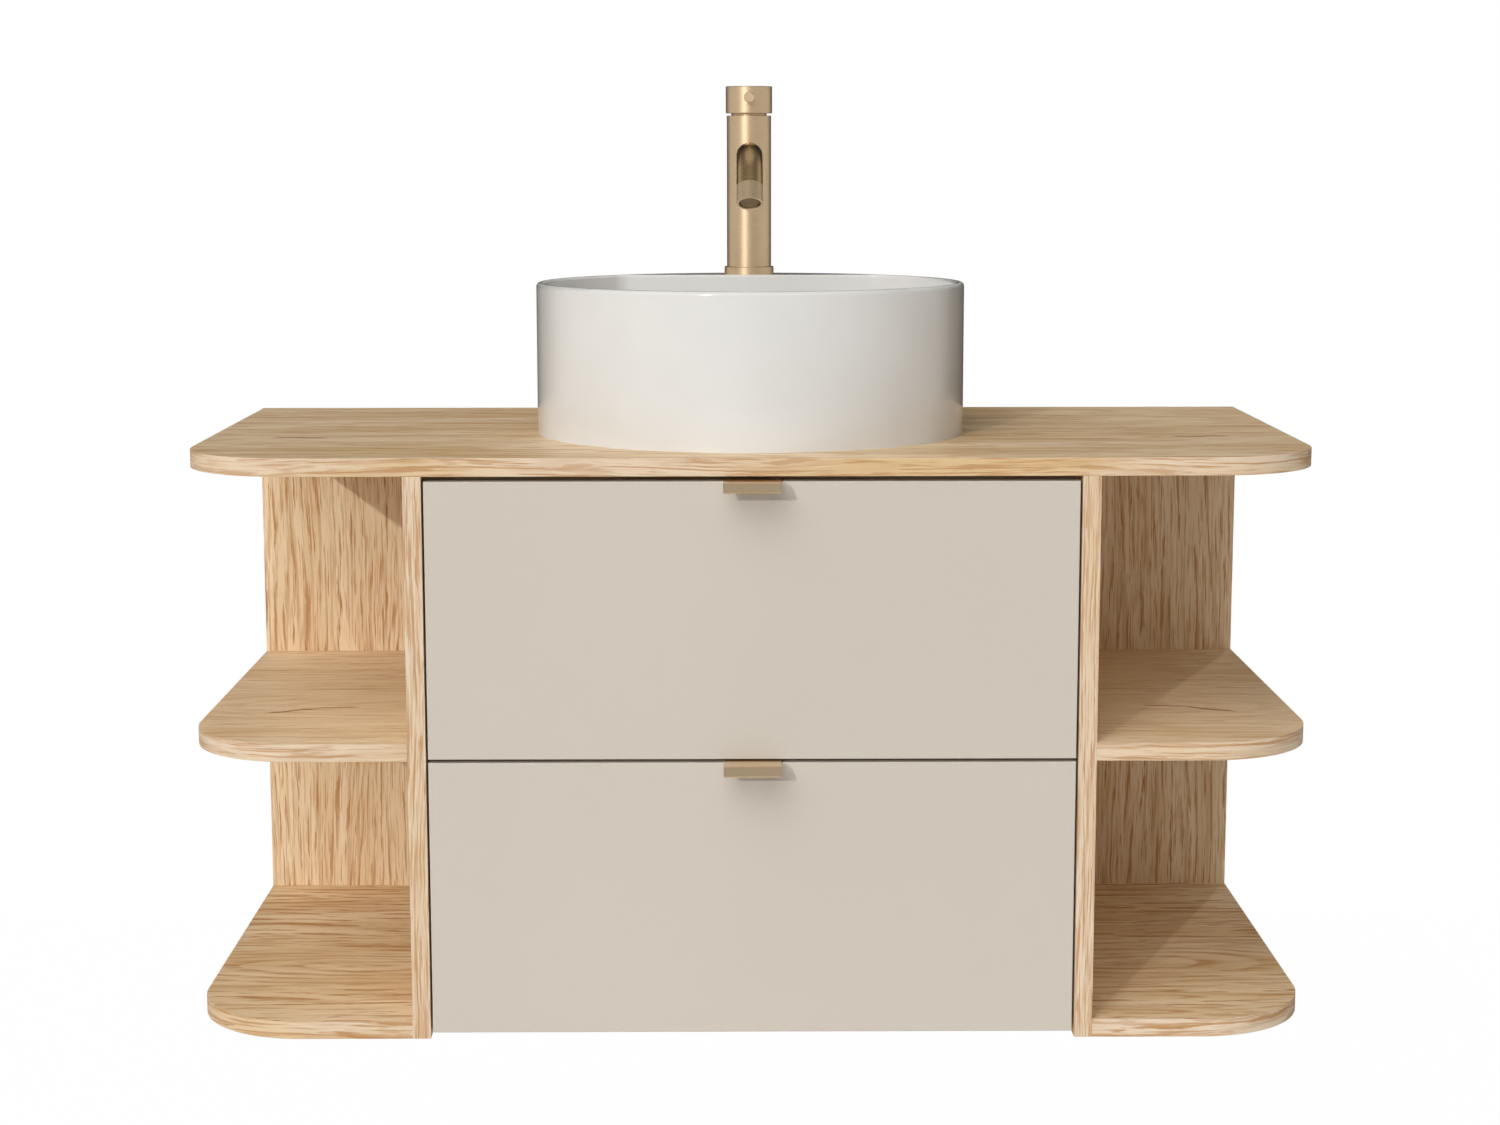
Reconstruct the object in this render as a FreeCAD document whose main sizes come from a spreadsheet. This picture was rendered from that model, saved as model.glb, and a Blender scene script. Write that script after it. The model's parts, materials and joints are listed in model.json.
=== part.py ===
"""Wall-hung vanity with a round countertop basin, a single-lever basin mixer and two drawers.

Frame: millimetres, +X right, +Y towards the wall, +Z up.  The origin lies on the wall plane, on the
centre line, at the underside of the cabinet.  The drawers are shut and the drain plug is down.
"""
import FreeCAD, Part
import math
import os
import re

import Sketcher

# ---------------------------------------------------------------- driving dimensions

# A size given as a text follows from the others, so that the pieces around it keep fitting together.
SIZES = {
    # cabinet
    "overall_width": 1000.0,
    "overall_depth": 475.0,
    "carcass_height": 501.0,
    "cabinet_width": 602.0,
    "board": 16.0,
    "corner_radius": 100.0,
    "middle_shelf_top": 266.5,
    "back_panel_setback": 4.0,
    "wall_rail_height": 80.0,
    "front_rail_depth": 60.0,
    "front_rail_gap": 10.0,
    "dowel_radius": 4.0,
    "dowel_in_side": 10.0,
    "dowel_in_board": 20.0,
    "dowel_margin": 60.0,
    "wall_screw_radius": 3.5,
    "wall_screw_spacing": 480.0,
    # drawers
    "front_thickness": 16.0,
    "front_gap_side": 2.0,
    "front_gap_top": 4.5,
    "front_gap_middle": 3.0,
    "front_gap_bottom": 5.5,
    "front_edge_radius": 0.8,
    "drawer_length": 400.0,
    "drawer_board": 12.0,
    "drawer_bottom": 8.0,
    "bottom_groove": 5.0,
    "bottom_rise": 10.0,
    "box_rise": 22.0,
    "upper_box_height": 170.0,
    "lower_box_height": 190.0,
    "siphon_notch_half": 47.0,
    "siphon_notch_ahead": 60.0,
    "siphon_guard_wall": 3.0,
    # telescopic runners
    "runner_width": 12.7,
    "runner_height": 45.0,
    "runner_sheet": 1.2,
    "runner_play": 0.4,
    "runner_rise": 55.0,
    "screw_radius": 1.75,
    "screw_head_radius": 3.2,
    "screw_length": 13.0,
    "screw_margin": 40.0,
    # edge pulls
    "pull_width": 50.0,
    "pull_sheet": 2.0,
    "pull_reach": 31.0,
    "pull_drop": 7.3,
    "pull_bend": 4.0,
    "pull_tab": 22.0,
    "pull_screw_spacing": 30.0,
    "pull_screw_drop": 13.0,
    "pull_screw_head": 2.2,
    # basin
    "basin_radius": 200.0,
    "basin_height": 140.0,
    "basin_wall": 8.0,
    "basin_centre_depth": 237.5,
    "bowl_depth": 115.0,
    "bowl_dish": 5.0,
    "bowl_dish_radius": 104.0,
    "bowl_floor_radius": 20.0,
    "bowl_corner_radius": 21.0,
    "rim_outer_radius": 3.6,
    "rim_inner_radius": 2.4,
    "deck_depth": 55.0,
    "deck_front": "=basin_radius - deck_depth",
    "deck_thickness": 12.0,
    "deck_wall": 7.0,
    "tap_inset": 28.0,
    "tap_offset": "=basin_radius - tap_inset",
    "tap_hole_radius": 17.5,
    "hose_hole_radius": 24.0,
    # waste and trap
    "waste_radius": 21.0,
    "waste_wall": 3.0,
    "waste_flange_radius": 32.0,
    "waste_flange_height": 3.0,
    "waste_hole_play": 2.0,
    "waste_tail": 61.0,
    "waste_nut_radius": 30.0,
    "waste_nut_height": 16.0,
    "seal_thickness": 3.0,
    "plug_radius": 31.0,
    "plug_height": 4.5,
    "plug_lift": 0.4,
    "plug_stem_radius": 4.0,
    "plug_stem_length": 62.0,
    "stem_play": 0.06,
    "guide_radius": 7.0,
    "guide_height": 24.0,
    "guide_drop": 36.0,
    "spoke_width": 3.0,
    "pipe_radius": 16.0,
    "pipe_wall": 1.5,
    "trap_radius": 30.0,
    "trap_wall": 3.0,
    "trap_top": 412.0,
    "trap_outlet_height": 380.0,
    "trap_joint": 344.0,
    "trap_thread": 12.0,
    "trap_bottom": 285.0,
    "trap_branch": 22.0,
    "trap_nut_radius": 25.0,
    "trap_nut_height": 22.0,
    "wall_clearance": 2.0,
    "spigot_length": 60.0,
    "pipe_mark": 1.2,
    # basin mixer
    "flange_reach": 2.5,
    "flange_radius": "=tap_radius + flange_reach",
    "flange_height": 7.5,
    "tap_radius": 22.0,
    "tap_height": 155.8,
    "tap_wall": 3.0,
    "ring_thread_radius": "=tap_radius - tap_wall",
    "ring_step": 1.5,
    "ring_radius": "=ring_thread_radius - ring_step",
    "cartridge_seat": 3.0,
    "cartridge_radius": "=ring_thread_radius - cartridge_seat",
    "cartridge_height": 20.0,
    "ring_lip": 4.0,
    "ring_bore_radius": "=cartridge_radius - ring_lip",
    "ring_thread_depth": 4.0,
    "ring_neck": 5.2,
    "spindle_play": 0.08,
    "shank_radius": 12.0,
    "shank_length": 50.0,
    "tap_gasket_radius": 19.3,
    "tap_nut_radius": 18.5,
    "tap_nut_height": 12.0,
    "inlet_radius": 4.5,
    "inlet_spacing": 11.6,
    "inlet_depth": 15.0,
    "cap_gap": 2.4,
    "cap_overhang": 1.0,
    "cap_radius": "=tap_radius + cap_overhang",
    "cap_height": 26.2,
    "cap_wall": 2.5,
    "cap_top": 4.0,
    "carrier_play": 4.5,
    "carrier_plate_radius": "=cap_radius - cap_wall - carrier_play",
    "carrier_plate": 2.0,
    "carrier_gap": 0.5,
    "ear_inner": 6.0,
    "ear_outer": 9.0,
    "ear_height": 8.5,
    "ear_depth": 7.0,
    "rocker_inset": 3.0,
    "rocker_offset": "=carrier_plate_radius - rocker_inset",
    "rocker_height": 13.2,
    "rocker_radius": 1.5,
    "rocker_play": 0.06,
    "block_half": 5.6,
    "block_front": 10.0,
    "block_heel": 3.0,
    "block_rear": "=rocker_offset + block_heel",
    "block_base": 9.2,
    "lever_radius": 5.0,
    "lever_length": 45.0,
    "lever_height": 16.9,
    "lever_stud_radius": 3.0,
    "lever_stud_length": 9.0,
    "grub_radius": 2.0,
    "spout_height": 116.8,
    "spout_radius": 12.5,
    "spout_bore": 10.0,
    "spout_socket": 12.0,
    "spout_bend_start": 76.5,
    "spout_bend_radius": 30.0,
    "spout_bend_angle": 60.0,
    "spout_tail": 35.1,
    "collar_length": 19.0,
    "collar_bore": 10.6,
    "seam": 0.35,
    "aerator_radius": 9.4,
    "aerator_recess": 1.2,
    "aerator_height": 11.0,
    "aerator_shoulder": 6.0,
    "aerator_button": 0.8,
    "port_radius": 5.0,
    # small details shared by turned pieces
    "fine_break": 0.4,
    "edge_break": 0.5,
    "soft_break": 0.6,
    "lead_in": 1.0,
    "cut_overrun": 1.0,
    "grub_set_back": 0.3,
    "bottle_taper": 8.0,
    "bottle_round": 6.0,
}

# How far an edge may lie from the place where it is looked for, and the least volume a pocket removes.
EDGE_SLACK = 1.0
LEAST_CUT = 1.0

# ---------------------------------------------------------------- places that several pieces share

SIDE_INNER = "(cabinet_width / 2 - board)"
COUNTER_TOP = "(carcass_height + board)"
DECK_TOP = f"({COUNTER_TOP} + basin_height)"
TAP_Y = "(tap_offset - basin_centre_depth)"
BASIN_Y = "(-basin_centre_depth)"
FRONT_HEIGHT = "((carcass_height - front_gap_top - front_gap_middle - front_gap_bottom) / 2)"
FRONT_BACK = "(-overall_depth + front_thickness)"
BOX_BACK = f"({FRONT_BACK} + drawer_length)"
BOX_HALF = f"({SIDE_INNER} - runner_width)"
BOWL_FLOOR = f"({DECK_TOP} - bowl_depth)"
DRAIN_TOP = f"({BOWL_FLOOR} - bowl_dish)"
WASTE_END = "(carcass_height - waste_tail)"
CAP_BASE = f"({DECK_TOP} + tap_height + cap_gap)"
TAP_TOP = f"({DECK_TOP} + tap_height)"
CARRIER_BASE = f"({TAP_TOP} + ring_neck + carrier_gap)"
ROCKER_Z = f"({TAP_TOP} + rocker_height)"
ROCKER_Y = f"({TAP_Y} + rocker_offset)"
SPOUT_Z = f"({DECK_TOP} + spout_height)"
DRAWERS = {
    "upper": (f"(front_gap_bottom + {FRONT_HEIGHT} + front_gap_middle)", "upper_box_height"),
    "lower": ("front_gap_bottom", "lower_box_height"),
}
SIDES = {"left": -1, "right": 1}

TURN_X = FreeCAD.Rotation(FreeCAD.Vector(0, 1, 0), 90)
TURN_Y = FreeCAD.Rotation(FreeCAD.Vector(1, 0, 0), -90)

doc = FreeCAD.newDocument("VesselSinkVanity")
sheet = doc.addObject("Spreadsheet::Sheet", "Sizes")
for row, alias in enumerate(SIZES, start=1):
    sheet.set(f"A{row}", alias)
    sheet.setAlias(f"B{row}", alias)
for row, value in enumerate(SIZES.values(), start=1):
    sheet.set(f"B{row}", str(value))
doc.recompute()

nodes = []


# ---------------------------------------------------------------- small helpers

def formula(text):
    """A formula written with plain size names, as an expression on the sheet."""
    return re.sub(r"[a-z][a-z_]*", lambda word: "Sizes." + word[0] if word[0] in SIZES else word[0], text)


def value_of(text):
    """The present value of a formula, used for first guesses and for picking edges."""
    result = sheet.evalExpression(formula(text))
    return float(getattr(result, "Value", result))


def bind(item, prop, text):
    item.setExpression(prop, formula(text))


def put(item, corner, rotation=None):
    """Place an item at three formulas, with an optional fixed rotation."""
    if rotation is not None:
        item.Placement = FreeCAD.Placement(FreeCAD.Vector(0, 0, 0), rotation)
    for axis, text in zip("xyz", corner):
        bind(item, f"Placement.Base.{axis}", text)
    return item


def node(item, name):
    """Mark an item as a finished piece, which gets a file of its own."""
    item.Label = name
    nodes.append(item)
    return item


def box(name, size, corner):
    item = doc.addObject("Part::Box", name)
    for prop, text in zip(("Length", "Width", "Height"), size):
        bind(item, prop, text)
    return put(item, corner)


def rod(name, radius, length, start, rotation=None):
    """A cylinder from its start point, along +Z or along the axis that the rotation turns +Z to."""
    item = doc.addObject("Part::Cylinder", name)
    bind(item, "Radius", radius)
    bind(item, "Height", length)
    return put(item, start, rotation)


def cone(name, radius_low, radius_high, length, start, rotation=None):
    item = doc.addObject("Part::Cone", name)
    bind(item, "Radius1", radius_low)
    bind(item, "Radius2", radius_high)
    bind(item, "Height", length)
    return put(item, start, rotation)


def prism(name, radius, length, start, rotation=None):
    """A hexagonal prism, as a nut has; radius is to its corners."""
    item = doc.addObject("Part::Prism", name)
    item.Polygon = 6
    bind(item, "Circumradius", radius)
    bind(item, "Height", length)
    return put(item, start, rotation)


def join(name, items):
    item = doc.addObject("Part::MultiFuse", name)
    item.Shapes = items
    item.Refine = True
    return item


def group(name, items):
    """Separate solids that share one node."""
    item = doc.addObject("Part::Compound", name)
    item.Links = items
    return item


def cut(name, base, tools):
    """The base less every tool."""
    item = doc.addObject("Part::Cut", name)
    item.Base = base
    item.Tool = tools[0] if len(tools) == 1 else group(name + "_tools", tools)
    item.Refine = True
    return item


def edges_where(shape, test):
    """Names of the edges whose middle point and direction pass the test."""
    names = []
    for number, edge in enumerate(shape.Edges, start=1):
        middle = edge.valueAt((edge.FirstParameter + edge.LastParameter) / 2)
        span = edge.lastVertex().Point - edge.firstVertex().Point
        if test(middle, span, edge):
            names.append(f"Edge{number}")
    return names


# ---------------------------------------------------------------- part design helpers

def new_body(name, corner, rotation=None):
    body = doc.addObject("PartDesign::Body", name)
    return put(body, corner, rotation)


def new_sketch(body, name, role, lift=None):
    """A sketch on one of the body's own origin planes, lifted along its normal by a formula."""
    sketch = body.newObject("Sketcher::SketchObject", name)
    plane = next(f for f in body.Origin.OriginFeatures if f.Role == role)
    sketch.AttachmentSupport = [(plane, "")]
    sketch.MapMode = "FlatFace"
    if lift is not None:
        bind(sketch, "AttachmentOffset.Base.z", lift)
    return sketch


def polygon(sketch, corners):
    """A closed outline whose corners are all held by formulas."""
    count = len(corners)
    points = [FreeCAD.Vector(value_of(x), value_of(y), 0) for x, y in corners]
    first = sketch.GeometryCount
    for i in range(count):
        sketch.addGeometry(Part.LineSegment(points[i], points[(i + 1) % count]), False)
    for i in range(count):
        sketch.addConstraint(Sketcher.Constraint("Coincident", first + i, 2, first + (i + 1) % count, 1))
    for i, (x, y) in enumerate(corners):
        hold_point(sketch, first + i, 1, (x, y), points[i])


def hold_point(sketch, line, end, corner, point):
    for kind, text, start in zip(("DistanceX", "DistanceY"), corner, (point.x, point.y)):
        number = sketch.addConstraint(Sketcher.Constraint(kind, line, end, start))
        bind(sketch, f"Constraints[{number}]", text)


def circle(sketch, radius, centre=("0", "0")):
    middle = FreeCAD.Vector(value_of(centre[0]), value_of(centre[1]), 0)
    ring = sketch.addGeometry(Part.Circle(middle, FreeCAD.Vector(0, 0, 1), value_of(radius)), False)
    number = sketch.addConstraint(Sketcher.Constraint("Radius", ring, value_of(radius)))
    bind(sketch, f"Constraints[{number}]", radius)
    hold_point(sketch, ring, 3, centre, middle)


def chord_outline(sketch, radius, chord, side):
    """Part of a disc on one side of a chord: side 1 keeps what is behind the chord, -1 what is ahead."""
    r, c = value_of(radius), value_of(chord)
    right, left = math.atan2(c, math.sqrt(r * r - c * c)), math.atan2(c, -math.sqrt(r * r - c * c))
    full = 2 * math.pi
    start, end = (right, left) if side > 0 else (left, right + full)
    disc = Part.Circle(FreeCAD.Vector(0, 0, 0), FreeCAD.Vector(0, 0, 1), r)
    arc = sketch.addGeometry(Part.ArcOfCircle(disc, start, end), False)
    ends = [FreeCAD.Vector(r * math.cos(a), r * math.sin(a), 0) for a in (end, start)]
    line = sketch.addGeometry(Part.LineSegment(ends[0], ends[1]), False)
    sketch.addConstraint(Sketcher.Constraint("Coincident", arc, 2, line, 1))
    sketch.addConstraint(Sketcher.Constraint("Coincident", line, 2, arc, 1))
    sketch.addConstraint(Sketcher.Constraint("Horizontal", line))
    hold_point(sketch, arc, 3, ("0", "0"), FreeCAD.Vector(0, 0, 0))
    number = sketch.addConstraint(Sketcher.Constraint("Radius", arc, r))
    bind(sketch, f"Constraints[{number}]", radius)
    number = sketch.addConstraint(Sketcher.Constraint("DistanceY", line, 1, c))
    bind(sketch, f"Constraints[{number}]", chord)


def pad(body, name, sketch, length):
    feature = body.newObject("PartDesign::Pad", name)
    feature.Profile = sketch
    bind(feature, "Length", length)
    return feature


def pocket(body, name, sketch, length, upward=False):
    """Cut a sketch into the body by a length, downward from its plane unless told upward."""
    doc.recompute()
    before = body.Shape.Volume
    feature = body.newObject("PartDesign::Pocket", name)
    feature.Profile = sketch
    bind(feature, "Length", length)
    feature.Reversed = upward
    doc.recompute()
    if body.Shape.Volume > before - LEAST_CUT:
        raise RuntimeError(f"{name} cuts nothing")
    return feature


def round_edges(body, name, radius, test, kind="PartDesign::Fillet"):
    """Fillet or chamfer the edges of the body's present shape that pass the test."""
    doc.recompute()
    base = body.Tip
    names = edges_where(base.Shape, test)
    if not names:
        raise RuntimeError(f"{name} finds no edge")
    feature = body.newObject(kind, name)
    feature.Base = (base, names)
    bind(feature, "Radius" if kind.endswith("Fillet") else "Size", radius)
    doc.recompute()
    return feature


def turned(name, corner, outline, rotation=None):
    """A body revolved about its own Z axis from an outline of radii and heights."""
    body = new_body(name, corner, rotation)
    sketch = new_sketch(body, name + "_profile", "XZ_Plane")
    polygon(sketch, outline)
    revolution = body.newObject("PartDesign::Revolution", name + "_turn")
    revolution.Profile = sketch
    revolution.ReferenceAxis = (sketch, ["V_Axis"])
    revolution.Angle = 360
    return body


def near(value, target, margin=0.05):
    return abs(value - target) < margin


# ---------------------------------------------------------------- boards

def dowel(name, side, y, z):
    """A dowel along X, from inside a side panel outward into the board beside it."""
    start = f"{side} * (cabinet_width / 2 - dowel_in_side)"
    turn = TURN_X if side > 0 else TURN_X.inverted()
    return rod(name, "dowel_radius", "dowel_in_side + dowel_in_board", (start, y, z), turn)


def rail_dowel(name, side, y, z):
    """A dowel along X, from inside a side panel inward into a rail."""
    start = f"{side} * ({SIDE_INNER} + dowel_in_side)"
    turn = TURN_X.inverted() if side > 0 else TURN_X
    return rod(name, "dowel_radius", "dowel_in_side + dowel_in_board", (start, y, z), turn)


SHELF_TOPS = {"middle": "middle_shelf_top", "bottom": "board"}
DOWEL_LINE = ("(-dowel_margin)", "(-overall_depth / 2)", "(-overall_depth + dowel_margin)")
BACK_PANEL_Y = "(-back_panel_setback - board)"


def make_dowels():
    """Every dowel, grouped by the joint that it makes."""
    sets = {"shelf": [], "back": [], "top": [], "rail": []}
    back_middle = f"{BACK_PANEL_Y} + board / 2"
    rail_back = f"{FRONT_BACK} + front_rail_gap"
    for hand, side in SIDES.items():
        for level, top in SHELF_TOPS.items():
            height = f"{top} - board / 2"
            for number, y in enumerate(DOWEL_LINE):
                sets["shelf"].append(dowel(f"dowel_{hand}_{level}_{number}", side, y, height))
        for number, z in enumerate(("carcass_height / 4", "carcass_height * 3 / 4")):
            sets["back"].append(dowel(f"dowel_{hand}_back_{number}", side, back_middle, z))
        for number, y in enumerate(DOWEL_LINE):
            spot = (f"{side} * (cabinet_width - board) / 2", y, "carcass_height - dowel_in_board")
            length = "dowel_in_side + dowel_in_board"
            sets["top"].append(rod(f"dowel_{hand}_top_{number}", "dowel_radius", length, spot))
        rails = (
            ("wall_top_a", "-board / 2", "carcass_height - wall_rail_height / 4"),
            ("wall_top_b", "-board / 2", "carcass_height - wall_rail_height * 3 / 4"),
            ("wall_low_a", "-board / 2", "wall_rail_height * 3 / 4"),
            ("wall_low_b", "-board / 2", "wall_rail_height * 2 / 5"),
            ("front_a", f"{rail_back} + front_rail_depth / 4", "carcass_height - board / 2"),
            ("front_b", f"{rail_back} + front_rail_depth * 3 / 4", "carcass_height - board / 2"),
            ("base_a", "-overall_depth / 3", "board / 2"),
            ("base_b", "-overall_depth * 2 / 3", "board / 2"),
        )
        for joint, y, z in rails:
            sets["rail"].append(rail_dowel(f"dowel_{hand}_{joint}", side, y, z))
    return sets


def rounded_board(name, size, corner, rounded):
    """A flat board whose front corners at the given X signs are rounded in plan."""
    body = new_body(name, corner)
    sketch = new_sketch(body, name + "_outline", "XY_Plane")
    width, depth, thickness = size
    polygon(sketch, [("0", "0"), (width, "0"), (width, depth), ("0", depth)])
    pad(body, name + "_pad", sketch, thickness)
    ends = [0.0 if sign < 0 else value_of(width) for sign in rounded]

    def at_corner(middle, span, edge):
        upright = abs(span.z) > EDGE_SLACK
        return upright and near(middle.y, 0) and any(near(middle.x, x) for x in ends)

    round_edges(body, name + "_corners", "corner_radius", at_corner)
    return body


def make_countertop(dowels):
    blank = rounded_board("countertop_blank", ("overall_width", "overall_depth", "board"),
                          ("-overall_width / 2", "-overall_depth", "carcass_height"), (-1, 1))
    waste = rod("countertop_waste_hole", "waste_radius + waste_hole_play", "board * 2",
                ("0", BASIN_Y, "carcass_height - board / 2"))
    hoses = rod("countertop_hose_hole", "hose_hole_radius", "board * 2",
                ("0", TAP_Y, "carcass_height - board / 2"))
    node(cut("countertop", blank, [waste, hoses] + dowels["top"]), "countertop")


def make_sides(dowels):
    for hand, side in SIDES.items():
        name = f"{hand}_side_panel"
        blank = box(name + "_blank", ("board", "overall_depth", "carcass_height"),
                    (f"{side} * (cabinet_width - board) / 2 - board / 2", "-overall_depth", "0"))
        holes = [d for pins in dowels.values() for d in pins if f"_{hand}_" in d.Name]
        screws = [s for s in runner_screws if f"_{hand}_" in s.Name]
        node(cut(name, blank, holes + screws), name)


def make_bays(dowels):
    """The open bays outside the side panels: a back panel and two shelves each."""
    bay = "(overall_width / 2 - cabinet_width / 2)"
    for hand, side in SIDES.items():
        left = "-overall_width / 2" if side < 0 else "cabinet_width / 2"
        name = f"{hand}_back_panel"
        blank = box(name + "_blank", (bay, "board", "carcass_height"), (left, BACK_PANEL_Y, "0"))
        holes = [d for d in dowels["back"] if f"_{hand}_" in d.Name]
        node(cut(name, blank, holes), name)
        for level, top in SHELF_TOPS.items():
            name = f"{hand}_{level}_shelf"
            depth = f"(overall_depth + {BACK_PANEL_Y})"
            blank = rounded_board(name + "_blank", (bay, depth, "board"),
                                  (left, "-overall_depth", f"{top} - board"), (side,))
            holes = [d for d in dowels["shelf"] if f"_{hand}_{level}_" in d.Name]
            node(cut(name, blank, holes), name)


def make_rails(dowels):
    """The boards that tie the side panels together."""
    span = f"(2 * {SIDE_INNER})"
    left = f"(-{SIDE_INNER})"
    wall_rails = (
        ("wall_rail_top", "carcass_height - wall_rail_height", "wall_top"),
        ("wall_rail_bottom", "0", "wall_low"),
    )
    for name, base, joint in wall_rails:
        blank = box(name + "_blank", (span, "board", "wall_rail_height"), (left, "-board", base))
        middle = f"{base} + wall_rail_height / 2"
        screws = [rod(f"{name}_screw_{hand}", "wall_screw_radius", "board * 2",
                      (f"{side} * wall_screw_spacing / 2", "-board * 3 / 2", middle), TURN_Y)
                  for hand, side in SIDES.items()]
        holes = [d for d in dowels["rail"] if joint in d.Name]
        node(cut(name, blank, screws + holes), name)
    front = box("front_rail_blank", (span, "front_rail_depth", "board"),
                (left, f"{FRONT_BACK} + front_rail_gap", "carcass_height - board"))
    node(cut("front_rail", front, [d for d in dowels["rail"] if "_front_" in d.Name]), "front_rail")
    depth = f"(-{FRONT_BACK} - front_rail_gap - board)"
    base = box("bottom_panel_blank", (span, depth, "board"), (left, f"{FRONT_BACK} + front_rail_gap", "0"))
    node(cut("bottom_panel", base, [d for d in dowels["rail"] if "_base_" in d.Name]), "bottom_panel")


# ---------------------------------------------------------------- runners

def channel(name, hand_side, web, tip, half_height, rear, length):
    """One folded sheet channel along Y: its web at one X, its two flanges reaching to another X.

    web and tip are distances from the side panel's inner face towards the drawer.
    """
    body = new_body(name, ("0", rear, "0"))
    sketch = new_sketch(body, name + "_section", "XZ_Plane")
    inward = "+" if value_of(tip) > value_of(web) else "-"
    web_inner = f"({web} {inward} runner_sheet)"
    outline = [
        (web, f"-{half_height}"), (tip, f"-{half_height}"),
        (tip, f"-{half_height} + runner_sheet"), (web_inner, f"-{half_height} + runner_sheet"),
        (web_inner, f"{half_height} - runner_sheet"), (tip, f"{half_height} - runner_sheet"),
        (tip, half_height), (web, half_height),
    ]
    polygon(sketch, [(f"{hand_side} * ({SIDE_INNER} - ({x}))", z) for x, z in outline])
    pad(body, name + "_pad", sketch, length)
    return body


RUNNER_LAYERS = {
    # the web, the flange tip and the half height of each of the three channels in a runner
    "rail": ("0", "runner_width * 3 / 4", "(runner_height / 2)"),
    "slide": ("runner_sheet + runner_play", "runner_width - runner_sheet - runner_play",
              "(runner_height / 2 - runner_sheet - runner_play)"),
    "member": ("runner_width", "2 * runner_sheet + 2 * runner_play",
               "(runner_height / 2 - 2 * runner_sheet - 2 * runner_play)"),
}


def runner_height_of(drawer):
    return f"({DRAWERS[drawer][0]} + box_rise + runner_rise)"


def runner_screw(name, side, y, z):
    """A countersunk screw through the web of a cabinet rail into the side panel."""
    turn = TURN_X if side > 0 else TURN_X.inverted()
    face = f"{side} * {SIDE_INNER}"
    head = cone(name + "_head", "screw_head_radius", "screw_radius", "runner_sheet",
                (f"{side} * ({SIDE_INNER} - runner_sheet)", y, z), turn)
    shank = rod(name + "_shank", "screw_radius", "screw_length", (face, y, z), turn)
    return join(name, [head, shank])


def make_runner_screws():
    """Two screws in each of the four cabinet rails."""
    screws = []
    places = (f"({BOX_BACK} - screw_margin)", f"({FRONT_BACK} + screw_margin)")
    for drawer in DRAWERS:
        for hand, side in SIDES.items():
            for number, y in enumerate(places):
                name = f"screw_{drawer}_{hand}_{number}"
                screws.append(runner_screw(name, side, y, runner_height_of(drawer)))
    return screws


def make_runners():
    """Each runner is a rail on the cabinet, a slide that travels half way and a member on the drawer."""
    rails = []
    for drawer in DRAWERS:
        for layer, (web, tip, half_height) in RUNNER_LAYERS.items():
            channels = []
            for hand, side in SIDES.items():
                name = f"{drawer}_{hand}_runner_{layer}"
                strip = channel(name + "_strip", side, web, tip, half_height, BOX_BACK, "drawer_length")
                bind(strip, "Placement.Base.z", runner_height_of(drawer))
                if layer == "rail":
                    screws = [s for s in runner_screws if s.Name.startswith(f"screw_{drawer}_{hand}_")]
                    strip = cut(name, strip, screws)
                channels.append(strip)
            if layer == "rail":
                rails += channels
            else:
                name = f"{drawer}_runner_{layer}s"
                node(group(name, channels), name)
    node(group("runner_rails", rails), "runner_rails")


# ---------------------------------------------------------------- drawers

def make_front(drawer, base, screws):
    """A plain slab front with softened edges."""
    name = f"{drawer}_drawer_front"
    width = f"(2 * {SIDE_INNER} - 2 * front_gap_side)"
    body = new_body(name + "_blank", (f"-{width} / 2", "-overall_depth", base))
    sketch = new_sketch(body, name + "_outline", "XY_Plane")
    polygon(sketch, [("0", "0"), (width, "0"), (width, "front_thickness"), ("0", "front_thickness")])
    pad(body, name + "_pad", sketch, FRONT_HEIGHT)
    round_edges(body, name + "_edges", "front_edge_radius", lambda middle, span, edge: near(middle.y, 0))
    node(cut(name, body, screws), name)


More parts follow.
